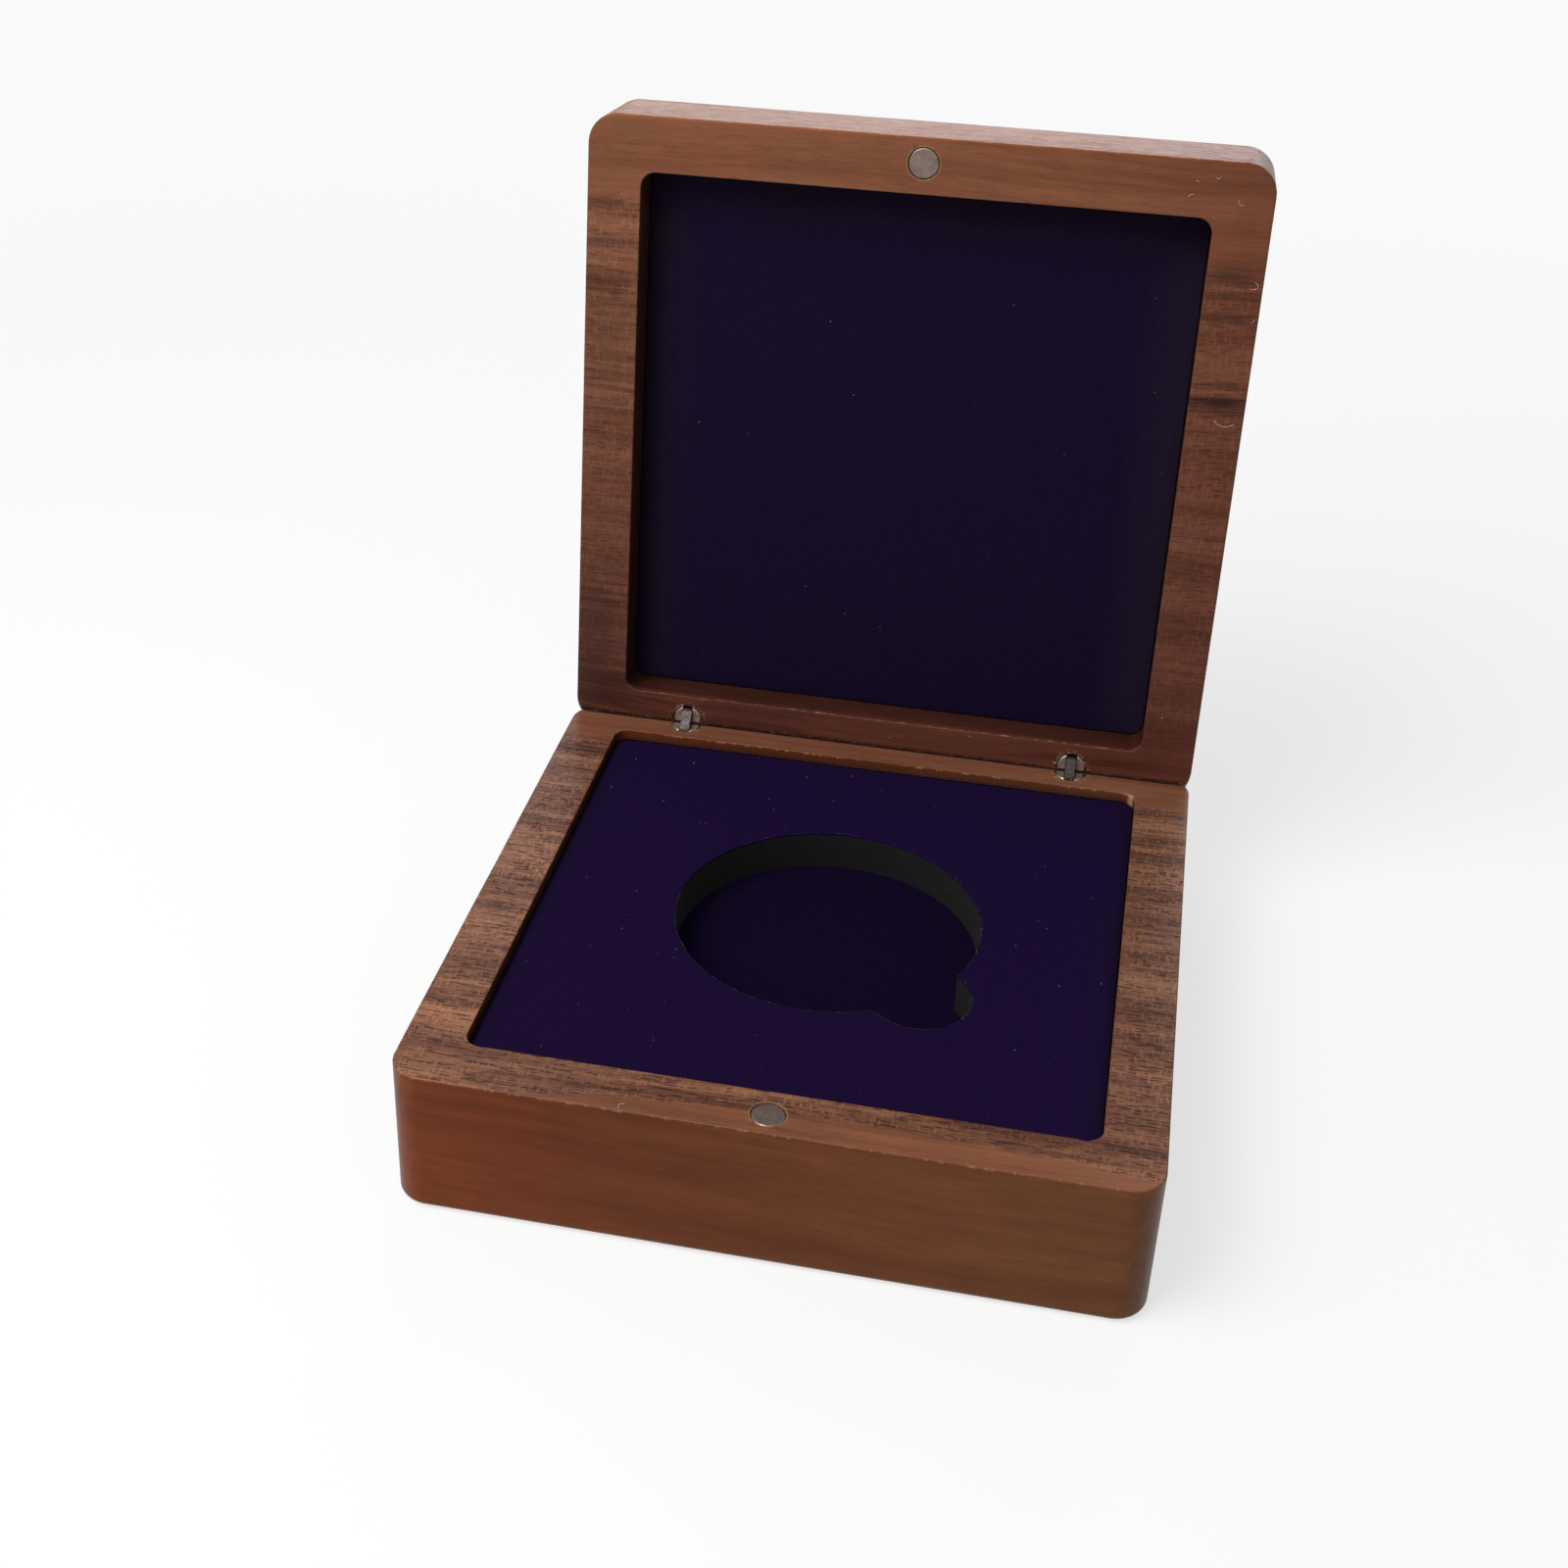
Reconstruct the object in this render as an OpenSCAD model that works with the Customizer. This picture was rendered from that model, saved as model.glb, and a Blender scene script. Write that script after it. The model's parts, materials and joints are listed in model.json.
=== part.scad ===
// Hinged hardwood presentation case for one encapsulated coin, standing open.
// Two routed blocks, base and lid, meet on flat rims. Two blind barrel hinges sit at the
// rear, where a bevel on each block lets the lid lean back against the base and stop.
// Origin: centre of the underside of the base. X is across, -Y is the front, +Z is up.
// All sizes are in millimetres.

/* [Case] */
// Width of the case, left to right
case_w = 110; // [96:1:130]
// Depth of the case, front to rear
case_d = 110; // [96:1:130]
// Height of the base block
base_h = 24.5; // [22:0.5:36]
// Height of the lid block
lid_h = 17.5; // [15:0.5:26]
// Width of the rims around both pockets
rim_w = 9; // [8:0.25:12]
// Radius of the four upright outer corners
corner_r = 5; // [3:0.5:8]
// Radius of the outer edge under the base and on top of the lid
outer_edge_r = 1.5; // [0.5:0.25:2.5]
// Radius that eases the outer edge of each rim
rim_edge_r = 0.5; // [0.2:0.1:1]

/* [Pockets] */
// Depth of the pocket in the base, below its rim
base_pocket_depth = 16.5; // [14:0.5:18]
// Depth of the pocket in the lid, below its rim
lid_pocket_depth = 10; // [8:0.25:12]
// Radius in the corners of both pockets
pocket_corner_r = 2.5; // [1.5:0.25:4]
// Width of the small bevel around each pocket's mouth
mouth_bevel = 0.25; // [0.1:0.05:0.5]

/* [Coin recess] */
// Diameter of the round recess, for a capsule of 48 mm
recess_d = 48.5; // [40:0.5:56]
// Depth of the recess, from the face of the lining to its floor
recess_depth = 6.85; // [5:0.05:8]
// Diameter of the thumb notch
thumb_d = 16; // [12:0.5:20]
// How far the thumb notch reaches beyond the recess
thumb_reach = 7.5; // [5:0.25:9]
// Direction of the thumb notch, turned from +X towards the rear
thumb_angle = -45; // [-90:5:0]

/* [Linings] */
// How far the lining of the base lies below its rim
base_lining_drop = 1.65; // [1:0.05:3]
// How far the lining of the lid lies below its rim
lid_lining_drop = 6.85; // [5:0.05:7]
// Thickness of the velvet
velvet_t = 0.5; // [0.3:0.1:1]
// Gap between a lining and the wall of its pocket
lining_gap = 0.1; // [0.05:0.05:0.3]

/* [Hinges] */
// How far the lid opens
open_angle = 96.5; // [92:0.5:110]
// Distance of each hinge from the middle of the case
hinge_x = 34.4; // [28:0.1:40]
// Width of the rear bevel on each rim
bevel_w = 4.1; // [3.5:0.1:5]
// Diameter of a hinge barrel
barrel_d = 5; // [4.5:0.1:5.5]
// Length of a hinge barrel
barrel_len = 9.5; // [8:0.25:11]
// Length of the plain head of a barrel, above its ribs
barrel_head_len = 4; // [3.75:0.05:5]
// Number of ribs around a barrel
rib_count = 20; // [12:1:24]
// Depth of the grooves between the ribs
rib_depth = 0.2; // [0.1:0.05:0.35]
// How far the crests of the ribs lie inside the side of the head
rib_inset = 0.05; // [0.03:0.01:0.1]
// Bevel around both ends of a barrel
barrel_edge = 0.3; // [0.1:0.05:0.5]
// How far the sharp edge between rim and bevel is eased back
bevel_edge_ease = 0.25; // [0.1:0.05:0.4]
// Depth of each hinge pin below its rim
pin_depth = 1.3; // [1.2:0.05:1.6]
// Diameter of a hinge pin
pin_d = 1.1; // [0.9:0.05:1.3]
// How far the ends of a pin lie inside the side of its barrel
pin_inset = 0.2; // [0.1:0.05:0.4]
// Thickness of a hinge link
link_t = 1.7; // [1.3:0.05:2]
// Width of a hinge link, which is round at both ends
link_w = 3.4; // [2.8:0.1:3.6]

/* [Magnets] */
// Diameter of a magnet
magnet_d = 5; // [4:0.5:6]
// Thickness of a magnet
magnet_t = 3; // [2:0.5:4]
// Distance of the magnets from the front of the case
magnet_inset = 4.1; // [3.75:0.05:5]
// Bevel around the faces of a magnet
magnet_edge = 0.25; // [0.1:0.05:0.4]

/* [Clearances] */
// Gap between the rims when the case is closed
closed_gap = 0.15; // [0.1:0.01:0.25]
// Gap between the rear bevels when the case is open
open_gap = 0.3; // [0.25:0.05:0.6]
// Radial gap around the barrels and magnets in their bores
bore_gap = 0.05; // [0.02:0.01:0.1]
// Radial gap of a link on its pins
link_bore_gap = 0.05; // [0.03:0.01:0.1]
// Radial gap of a pin in the cheeks of its barrel
cheek_bore_gap = 0.01; // [0.01:0.01:0.05]
// Gap between a link and each side of its slot
slot_side_gap = 0.1; // [0.05:0.05:0.2]
// Gap between the end of a link and the floor of its slot
slot_floor_gap = 0.2; // [0.1:0.05:0.4]
// How far the face of a magnet lies below its rim
magnet_drop = 0.05; // [0.02:0.01:0.2]

/* [Hidden] */
$fn = 64;

walnut = "#7b4a33";
velvet_blue = "#2a1550";
foam_grey = "#2b2b2b";
steel_grey = "#8d8a84";
nickel = "#a7a39c";

// Both blocks are bevelled at half the opening angle, so that the bevels meet when open.
bevel_angle = open_angle / 2;
bevel_drop = bevel_w * tan(bevel_angle);
bevel_edge_y = case_d / 2 - bevel_w;
// Distance between the two pins of a link, which stands upright when the case is closed
link_len = 2 * pin_depth + closed_gap;
// The hinge line lies this far behind the edge of the bevel; less than zero is in front.
setback = (open_gap - closed_gap - 2 * pin_depth * (1 - cos(bevel_angle)))
    / (2 * sin(bevel_angle));
hinge_y = bevel_edge_y + setback;
base_pin_z = base_h - pin_depth;
lid_pin_z = base_pin_z + link_len;
barrel_r = barrel_d / 2;
slot_depth = pin_depth + link_w / 2 + slot_floor_gap;

pocket_w = case_w - 2 * rim_w;
pocket_d = case_d - 2 * rim_w;
lining_w = pocket_w - 2 * lining_gap;
lining_d = pocket_d - 2 * lining_gap;
lining_corner_r = pocket_corner_r - lining_gap;
recess_r = recess_d / 2;
thumb_centre = recess_r + thumb_reach - thumb_d / 2;
magnet_y = magnet_inset - case_d / 2;
// A cutter passes this far beyond the surface that it cuts.
over = 1;

// Points of a quarter circle about [cx, cy], from one bearing through 90 degrees
arc_steps = 6;
function quarter(cx, cy, r, from) = [
    for (i = [0 : arc_steps]) [
        cx + r * cos(from + 90 * i / arc_steps),
        cy + r * sin(from + 90 * i / arc_steps)
    ]
];

// A block with upright corners of radius r, whose edge has the outline given as a child:
// the child's X runs from 0 at the centre of the corner outwards, and its Y is the height.
module turned_block(w, d, r, low, high) {
    cx = w / 2 - r;
    cy = d / 2 - r;
    translate([-cx, -cy, low])
        cube([2 * cx, 2 * cy, high - low]);
    for (side = [0, 1])
        mirror([side, 0, 0])
            translate([cx, 0, 0])
                rotate([90, 0, 0])
                    linear_extrude(2 * cy, center = true) children();
    for (side = [0, 1])
        rotate([0, 0, 90])
            mirror([side, 0, 0])
                translate([cy, 0, 0])
                    rotate([90, 0, 0])
                        linear_extrude(2 * cx, center = true) children();
    for (sx = [0, 1], sy = [0, 1])
        mirror([sx, 0, 0])
            mirror([0, sy, 0])
                translate([cx, cy, 0])
                    rotate_extrude(angle = 90) children();
}

// Wall of a block: rounded at its foot, eased at its rim
module block_edge(h) {
    polygon(concat(
        [[0, -h]],
        quarter(corner_r - outer_edge_r, outer_edge_r - h, outer_edge_r, -90),
        quarter(corner_r - rim_edge_r, -rim_edge_r, rim_edge_r, 0),
        [[0, 0]]
    ));
}

// Wall of a pocket's cutter, flared at the mouth
module pocket_edge(depth) {
    polygon([
        [0, -depth], [pocket_corner_r, -depth], [pocket_corner_r, -mouth_bevel],
        [pocket_corner_r + mouth_bevel + over, over], [0, over]
    ]);
}

// Everything above a slope that falls to the rear from a line across the rim
module slope_cut(y, angle) {
    reach = 2 * (bevel_w + bevel_drop);
    translate([0, y, 0])
        rotate([-angle, 0, 0])
            translate([-case_w, -over, 0])
                cube([2 * case_w, reach, reach]);
}

// The rear bevel of a rim, with its edge eased by a slope of half its angle
module rear_bevel_cut() {
    slope_cut(bevel_edge_y, bevel_angle);
    slope_cut(bevel_edge_y - bevel_edge_ease, bevel_angle / 2);
}

// One half of the case: rim at height 0, material below it
module case_half(h, pocket_depth) {
    difference() {
        turned_block(case_w, case_d, corner_r, -h, 0) block_edge(h);
        turned_block(pocket_w, pocket_d, pocket_corner_r, -pocket_depth, over)
            pocket_edge(pocket_depth);
        rear_bevel_cut();
        for (side = [-1, 1])
            translate([side * hinge_x, hinge_y, -barrel_len])
                cylinder(r = barrel_r + bore_gap, h = barrel_len + over);
        translate([0, magnet_y, -magnet_t - magnet_drop])
            cylinder(r = magnet_d / 2 + bore_gap, h = magnet_t + magnet_drop + over);
    }
}

// Outline of the ribbed part of a barrel
module ribbed_outline() {
    polygon([
        for (i = [0 : 2 * rib_count - 1])
            let (r = barrel_r - rib_inset - (i % 2) * rib_depth, turn = 180 * i / rib_count)
                [r * cos(turn), r * sin(turn)]
    ]);
}

// A hinge barrel: plain slotted head, ribbed shank, rear of the head cut to the bevel
module barrel(side) {
    shank_top = -barrel_head_len;
    difference() {
        translate([side * hinge_x, hinge_y, 0])
            difference() {
                union() {
                    rotate_extrude()
                        polygon([
                            [0, shank_top], [barrel_r, shank_top], [barrel_r, -barrel_edge],
                            [barrel_r - barrel_edge, 0], [0, 0]
                        ]);
                    intersection() {
                        translate([0, 0, -barrel_len])
                            linear_extrude(barrel_len - barrel_head_len) ribbed_outline();
                        translate([0, 0, -barrel_len])
                            cylinder(
                                r1 = barrel_r - 2 * barrel_edge,
                                r2 = barrel_r - 2 * barrel_edge + barrel_len,
                                h = barrel_len
                            );
                    }
                }
                translate([-link_t / 2 - slot_side_gap, -barrel_d, -slot_depth])
                    cube([link_t + 2 * slot_side_gap, 2 * barrel_d, slot_depth + over]);
                translate([0, 0, -pin_depth])
                    rotate([0, 90, 0])
                        cylinder(r = pin_d / 2 + cheek_bore_gap, h = 2 * barrel_d, center = true);
            }
        rear_bevel_cut();
    }
}

// A hinge pin, across the barrel
module pin(side) {
    translate([side * hinge_x, hinge_y, -pin_depth])
        rotate([0, 90, 0])
            cylinder(d = pin_d, h = barrel_d - 2 * pin_inset, center = true);
}

// A hinge link, upright between the two pins, as it stands when the case is closed
module link(side) {
    translate([side * hinge_x, hinge_y, base_pin_z])
        rotate([90, 0, 90])
            linear_extrude(link_t, center = true)
                difference() {
                    union() {
                        translate([-link_w / 2, 0])
                            square([link_w, link_len]);
                        for (end = [0, 1])
                            translate([0, end * link_len])
                                circle(d = link_w);
                    }
                    for (end = [0, 1])
                        translate([0, end * link_len])
                            circle(d = pin_d + 2 * link_bore_gap);
                }
}

// A disc magnet, face up just below the rim
module magnet() {
    r = magnet_d / 2;
    translate([0, magnet_y, -magnet_drop - magnet_t])
        rotate_extrude()
            polygon([
                [0, 0], [r - magnet_edge, 0], [r, magnet_edge],
                [r, magnet_t - magnet_edge], [r - magnet_edge, magnet_t], [0, magnet_t]
            ]);
}

// A flat sheet of lining between two heights below the rim
module lining_sheet(low, high) {
    turned_block(lining_w, lining_d, lining_corner_r, -low, -high)
        translate([0, -low])
            square([lining_corner_r, low - high]);
}

// Coin recess and thumb notch, cut through a sheet of lining
module recess_cut(low, high) {
    depth = low - high + 2 * over;
    translate([0, 0, -low - over]) {
        cylinder(r = recess_r, h = depth);
        rotate([0, 0, thumb_angle])
            translate([thumb_centre, 0, 0])
                cylinder(d = thumb_d, h = depth);
    }
}

// Where the pieces of the base, the links and the lid stand when the case is open.
module on_base() {
    translate([0, 0, base_h]) children();
}
module about_hinge(z) {
    translate([0, hinge_y, z])
        rotate([-bevel_angle, 0, 0])
            translate([0, -hinge_y, -z]) children();
}
module on_link() {
    about_hinge(base_pin_z) children();
}
module on_lid() {
    about_hinge(base_pin_z)
        about_hinge(lid_pin_z)
            translate([0, 0, base_h + closed_gap])
                mirror([0, 0, 1]) children();
}

// Heights of the layers of lining, measured down from the rim
insert_low = base_lining_drop + recess_depth;
insert_split = base_lining_drop + velvet_t;
floor_split = insert_low + velvet_t;
lid_split = lid_lining_drop + velvet_t;

module base_case() {
    color(walnut) on_base() case_half(base_h, base_pocket_depth);
}
module base_floor_foam() {
    color(foam_grey) on_base() lining_sheet(base_pocket_depth, floor_split);
}
module base_floor_velvet() {
    color(velvet_blue) on_base() lining_sheet(floor_split, insert_low);
}
module coin_insert_foam() {
    color(foam_grey) on_base() difference() {
        lining_sheet(insert_low, insert_split);
        recess_cut(insert_low, insert_split);
    }
}
module coin_insert_velvet() {
    color(velvet_blue) on_base() difference() {
        lining_sheet(insert_split, base_lining_drop);
        recess_cut(insert_split, base_lining_drop);
    }
}
module base_magnet() {
    color(nickel) on_base() magnet();
}
module base_barrel(side) {
    color(steel_grey) on_base() barrel(side);
}
module base_pin(side) {
    color(steel_grey) on_base() pin(side);
}
module hinge_link(side) {
    color(steel_grey) on_link() link(side);
}
module lid_case() {
    color(walnut) on_lid() case_half(lid_h, lid_pocket_depth);
}
module lid_foam() {
    color(foam_grey) on_lid() lining_sheet(lid_pocket_depth, lid_split);
}
module lid_velvet() {
    color(velvet_blue) on_lid() lining_sheet(lid_split, lid_lining_drop);
}
module lid_magnet() {
    color(nickel) on_lid() magnet();
}
module lid_barrel(side) {
    color(steel_grey) on_lid() barrel(side);
}
module lid_pin(side) {
    color(steel_grey) on_lid() pin(side);
}

base_case();
base_floor_foam();
base_floor_velvet();
coin_insert_foam();
coin_insert_velvet();
base_magnet();
base_barrel(-1);  // left_base_barrel
base_barrel(1);  // right_base_barrel
base_pin(-1);  // left_base_pin
base_pin(1);  // right_base_pin
hinge_link(-1);  // left_hinge_link
hinge_link(1);  // right_hinge_link
lid_case();
lid_foam();
lid_velvet();
lid_magnet();
lid_barrel(-1);  // left_lid_barrel
lid_barrel(1);  // right_lid_barrel
lid_pin(-1);  // left_lid_pin
lid_pin(1);  // right_lid_pin
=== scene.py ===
"""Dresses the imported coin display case: walnut halves, velvet linings, magnets, hinges, a pale studio."""
import json
import math

import bmesh
import bpy
import numpy as np
from bpy.props import FloatProperty, FloatVectorProperty, IntProperty, PointerProperty
from mathutils import Matrix, Vector, noise

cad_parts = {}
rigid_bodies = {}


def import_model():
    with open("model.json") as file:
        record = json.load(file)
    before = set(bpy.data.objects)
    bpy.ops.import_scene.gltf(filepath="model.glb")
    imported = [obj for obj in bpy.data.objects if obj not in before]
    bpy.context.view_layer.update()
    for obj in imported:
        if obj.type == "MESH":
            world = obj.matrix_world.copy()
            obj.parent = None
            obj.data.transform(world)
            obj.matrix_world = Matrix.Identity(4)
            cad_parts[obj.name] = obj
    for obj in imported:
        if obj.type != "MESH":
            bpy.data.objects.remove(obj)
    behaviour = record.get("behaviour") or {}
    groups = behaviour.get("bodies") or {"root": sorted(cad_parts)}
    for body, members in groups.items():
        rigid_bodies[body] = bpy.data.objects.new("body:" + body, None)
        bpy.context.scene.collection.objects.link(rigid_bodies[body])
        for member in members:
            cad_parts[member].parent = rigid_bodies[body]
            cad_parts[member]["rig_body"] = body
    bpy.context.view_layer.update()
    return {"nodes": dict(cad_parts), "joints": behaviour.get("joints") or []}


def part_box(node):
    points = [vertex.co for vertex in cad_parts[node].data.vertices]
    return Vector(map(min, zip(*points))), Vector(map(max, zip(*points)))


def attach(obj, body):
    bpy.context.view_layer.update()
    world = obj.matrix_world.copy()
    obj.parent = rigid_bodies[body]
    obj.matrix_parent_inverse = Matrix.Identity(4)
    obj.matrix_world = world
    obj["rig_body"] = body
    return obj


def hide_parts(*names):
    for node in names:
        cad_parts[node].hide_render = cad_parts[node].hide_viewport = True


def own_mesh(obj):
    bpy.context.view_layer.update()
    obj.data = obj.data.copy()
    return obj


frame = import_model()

bl_info = {
    "name": "Coin display case",
    "version": (1, 0, 0),
    "blender": (4, 5, 0),
    "location": "View3D > Sidebar > Coin case",
    "description": "Walnut, velvet, foam, magnets and hinges for a coin display case",
    "category": "Object",
}

MM = 0.001
UP = Vector((0, 0, 1))


def linear(code):
    """The linear colour, with alpha, of an sRGB hex code."""
    parts = [int(code[i:i + 2], 16) / 255 for i in (1, 3, 5)]
    return [c / 12.92 if c <= 0.04045 else ((c + 0.055) / 1.055) ** 2.4 for c in parts] + [1.0]


def turned_about(point, angle):
    """A turn about a line along X through a point."""
    return Matrix.Translation(point) @ Matrix.Rotation(angle, 4, "X") @ Matrix.Translation(-Vector(point))


def local_box(node, place):
    """Lowest and highest corner of a CAD node in a half's own frame."""
    inverse = place.inverted()
    points = np.array([inverse @ v.co for v in frame["nodes"][node].data.vertices])
    return Vector(points.min(0)), Vector(points.max(0))


# Each half has its own frame: the rim is the plane z = 0, the wood lies below it, and -Y is the front.
link_joint, lid_joint = (
    next(j for j in frame["joints"] if j["name"] == name) for name in ("link_swing", "lid_swing")
)
base_pin = Vector(link_joint["pos_m"])
link_length = (Vector(lid_joint["pos_m"]) - base_pin).length
base_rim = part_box("base_case")[1].z
lid_pin_closed = base_pin + link_length * UP
lid_rim_closed = lid_pin_closed.z - (base_rim - base_pin.z)
BASE = Matrix.Translation(base_rim * UP)
LID = (
    turned_about(base_pin, -math.radians(link_joint["range_deg"][1]))
    @ turned_about(lid_pin_closed, -math.radians(lid_joint["range_deg"][1]))
    @ Matrix.Translation(lid_rim_closed * UP)
    @ Matrix.Rotation(math.pi, 4, "Y")
)
opening = sum(math.radians(j["range_deg"][1]) for j in frame["joints"])

base_low, base_high = local_box("base_case", BASE)
lid_low = local_box("lid_case", LID)[0]
insert_low, insert_high = local_box("coin_insert_velvet", BASE)
floor_low, floor_high = local_box("base_floor_velvet", BASE)
foam_low = local_box("base_floor_foam", BASE)[0]
lid_velvet_low, lid_velvet_high = local_box("lid_velvet", LID)
lid_foam_low = local_box("lid_foam", LID)[0]
magnet_low, magnet_high = local_box("base_magnet", BASE)
barrel_low, barrel_high = local_box("right_base_barrel", BASE)

CASE_WIDTH = base_high.x - base_low.x
CASE_DEPTH = base_high.y - base_low.y
LINING_WIDTH = insert_high.x - insert_low.x
HINGE = (barrel_low + barrel_high) / 2
MAGNET = (magnet_low + magnet_high) / 2


def length_prop(name, description, millimetres):
    """A property with a default in millimetres."""
    return FloatProperty(name=name, description=description, default=millimetres * MM, unit="LENGTH")


def angle_prop(name, description, degrees):
    """A property with a default in degrees."""
    return FloatProperty(name=name, description=description, default=math.radians(degrees), subtype="ANGLE")


def power_prop(name, description, watts):
    return FloatProperty(name=name, description=description, default=watts, min=0, unit="POWER")


def colour_prop(name, description, default):
    """A property with an sRGB hex code or linear shares as its default."""
    if isinstance(default, str):
        default = linear(default)
    return FloatVectorProperty(name=name, description=description, default=default, subtype="COLOR", size=4,
                               min=0, max=1)


class CaseSizes(bpy.types.PropertyGroup):
    """Sizes of the finished surfaces. The overall sizes come from the frame."""

    corner: length_prop("Corner radius", "Radius of the upright outer corners", 5)
    foot: length_prop("Outer edge radius", "Radius of the edge far from the rim", 1.5)
    rim_edge: length_prop("Rim edge", "Radius of the rim's outer edge", 0.3)
    pocket_corner: length_prop("Pocket corner", "Radius in the corners of the pockets", 2.5)
    lining_gap: length_prop("Lining gap", "Gap between lining and pocket wall", 0.1)
    mouth: length_prop("Pocket mouth", "Width of the eased edge of a pocket", 0.13)
    chip: length_prop("Chips", "Size of the largest chips along a pocket's edge", 0.35)
    bevel: length_prop("Rear bevel", "Width of the bevel that lets the lid lean back", 4.1)
    corner_reach: length_prop("Rear corner reach", "How far the rear corners would pass the bevel", 2.4)
    bore_gap: length_prop("Bore gap", "Radial gap around barrels and magnets", 0.05)
    bore_flare: length_prop("Bore flare", "How far the mouth of a bore is worn wider", 0.12)
    recess: length_prop("Recess", "Diameter of the coin recess", 48.5)
    notch: length_prop("Thumb notch", "Diameter of the thumb notch", 16)
    notch_reach: length_prop("Notch reach", "How far the notch reaches beyond the recess", 7.5)
    notch_bearing: angle_prop("Notch bearing", "Direction of the notch from +X", -45)
    pile_edge: length_prop("Pile edge", "Radius to which the pile rounds the edge of the velvet", 0.3)
    pile_wave: length_prop("Pile wave", "Height of the unevenness of the pile", 0.05)
    foam_grain: length_prop("Foam grain", "Roughness of the cut foam wall", 0.05)
    magnet_edge: length_prop("Magnet edge", "Radius of a magnet's rounded edge", 0.3)
    metal_edge: length_prop("Hinge edges", "Width to which the hinge parts' edges are eased", 0.05)
    fringe_length: length_prop("Fringe length", "Length of the loose pile along the recess", 0.3)
    fringe_spacing: length_prop("Fringe spacing", "Distance between loose fibres", 0.3)
    lint_size: length_prop("Lint size", "Size of the largest specks of lint", 0.19)
    thread: length_prop("Thread", "Radius of a stray fibre", 0.025)
    lint_per_velvet: IntProperty(
        name="Lint per pad", description="Specks of lint on the velvet of the base", min=0, default=90)


class CaseColours(bpy.types.PropertyGroup):
    """Colours of the materials, as linear values."""

    walnut_light: colour_prop("Walnut, light", "Light bands of the walnut", "#8a5d44")
    walnut_dark: colour_prop("Walnut, dark", "Dark bands of the walnut", "#583425")
    walnut_plain: colour_prop("Walnut, plain", "Wood without open pores", "#7d4f37")
    walnut_red: colour_prop("Walnut, red", "Darker parts of the plain wood", "#6b3e28")
    # These two tints darken and redden the outer sides, partly for their finish and partly as painted
    # shade.
    oil_and_shade: colour_prop("Oil", "Tint of the oil that the outer sides have drunk", (0.70, 0.42, 0.19, 1.0))
    lean_oil_and_shade: colour_prop("Oil, lean", "The same tint where less oil has gone in", (0.70, 0.65, 0.45, 1.0))
    walnut_pore: colour_prop("Walnut, pores", "Open pores and mineral streaks", "#331914")
    walnut_worn: colour_prop("Walnut, worn", "Bare fibres along worn edges", "#b58c74")
    velvet: colour_prop("Velvet", "Velvet pile", "#15072b")
    velvet_tips: colour_prop("Velvet tips", "Sheen on the tips of the pile", "#8478a0")
    foam: colour_prop("Foam", "Cut foam", "#100e0f")
    nickel: colour_prop("Nickel", "Plated magnets", "#7b6b62")
    steel: colour_prop("Steel", "Barrels and pins", "#9d9080")
    link_steel: colour_prop("Link steel", "Links of the hinges", "#544b49")
    # The darker steel of the right link is painted shade.
    link_steel_in_shade: colour_prop("Tarnished steel", "The link that has gone dark", "#3d3634")
    lint: colour_prop("Lint", "Lint and dust", "#d8cfd2")
    floor: colour_prop("Floor", "Studio floor", "#c4c3c2")


class Studio(bpy.types.PropertyGroup):
    """Camera and lamps."""

    camera_place: FloatVectorProperty(name="Camera place", description="Where the camera stands",
                                      subtype="TRANSLATION", unit="LENGTH",
                                      default=(0.03807, -0.28667, 0.22853))
    azimuth: angle_prop("Azimuth", "Bearing of the view from +Y towards +X", -11.49)
    elevation: angle_prop("Elevation", "Slope of the view", -31.07)
    roll: angle_prop("Roll", "Turn of the camera about its view", 1.29)
    focal_length: FloatProperty(name="Focal length", description="Lens in millimetres, on a 36 mm sensor",
                                min=1, default=51.01)
    shift: FloatVectorProperty(name="Shift", description="Shift of the lens, in widths of the picture",
                               size=2, default=(0.0489, -0.0265))
    key_power: power_prop("Key light", "Power of the large lamp above", 5.5)
    front_power: power_prop("Front light", "Power of the lamp in front", 0.8)
    rear_power: power_prop("Rear light", "Power of the lamp behind, which edges the lid", 1.2)
    room_light: FloatProperty(name="Room light", description="Strength of the light from all round", min=0,
                              default=0.3)


class Graph:
    """A node tree in the making: each call adds one node with its settings and links, and gives one output.

    The kind of a shader node leaves out ShaderNode and may carry an operation, as in "Math:ADD". Sockets
    are filled in order, by a dict of their indices, or by name with a capital, as in To_Max=2.
    """

    def __init__(self, tree):
        self.tree = tree
        self.tree.nodes.clear()

    def __call__(self, kind, *values, out=0, **named):
        kind, _, operation = kind.partition(":")
        shader = not kind.startswith(("Geometry", "Function", "NodeGroup"))
        node = self.tree.nodes.new(f"ShaderNode{kind}" if shader else kind)
        if operation:
            node.operation = operation
        inputs = dict(values[0] if values and isinstance(values[0], dict) else enumerate(values))
        for name, value in named.items():
            if name[0].isupper():
                inputs[name.replace("_", " ")] = value
            else:
                setattr(node, name, value)
        for socket, value in inputs.items():
            if isinstance(value, bpy.types.NodeSocket):
                self.tree.links.new(value, node.inputs[socket])
            else:
                node.inputs[socket].default_value = value
        return node.outputs[out] if out is not None and node.outputs else node


def new_material(name):
    """A material and the graph of its node tree."""
    material = bpy.data.materials.new(name)
    material.use_nodes = True
    return material, Graph(material.node_tree)


def colours():
    return bpy.context.scene.case_colours


def sizes():
    return bpy.context.scene.case_sizes


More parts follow.
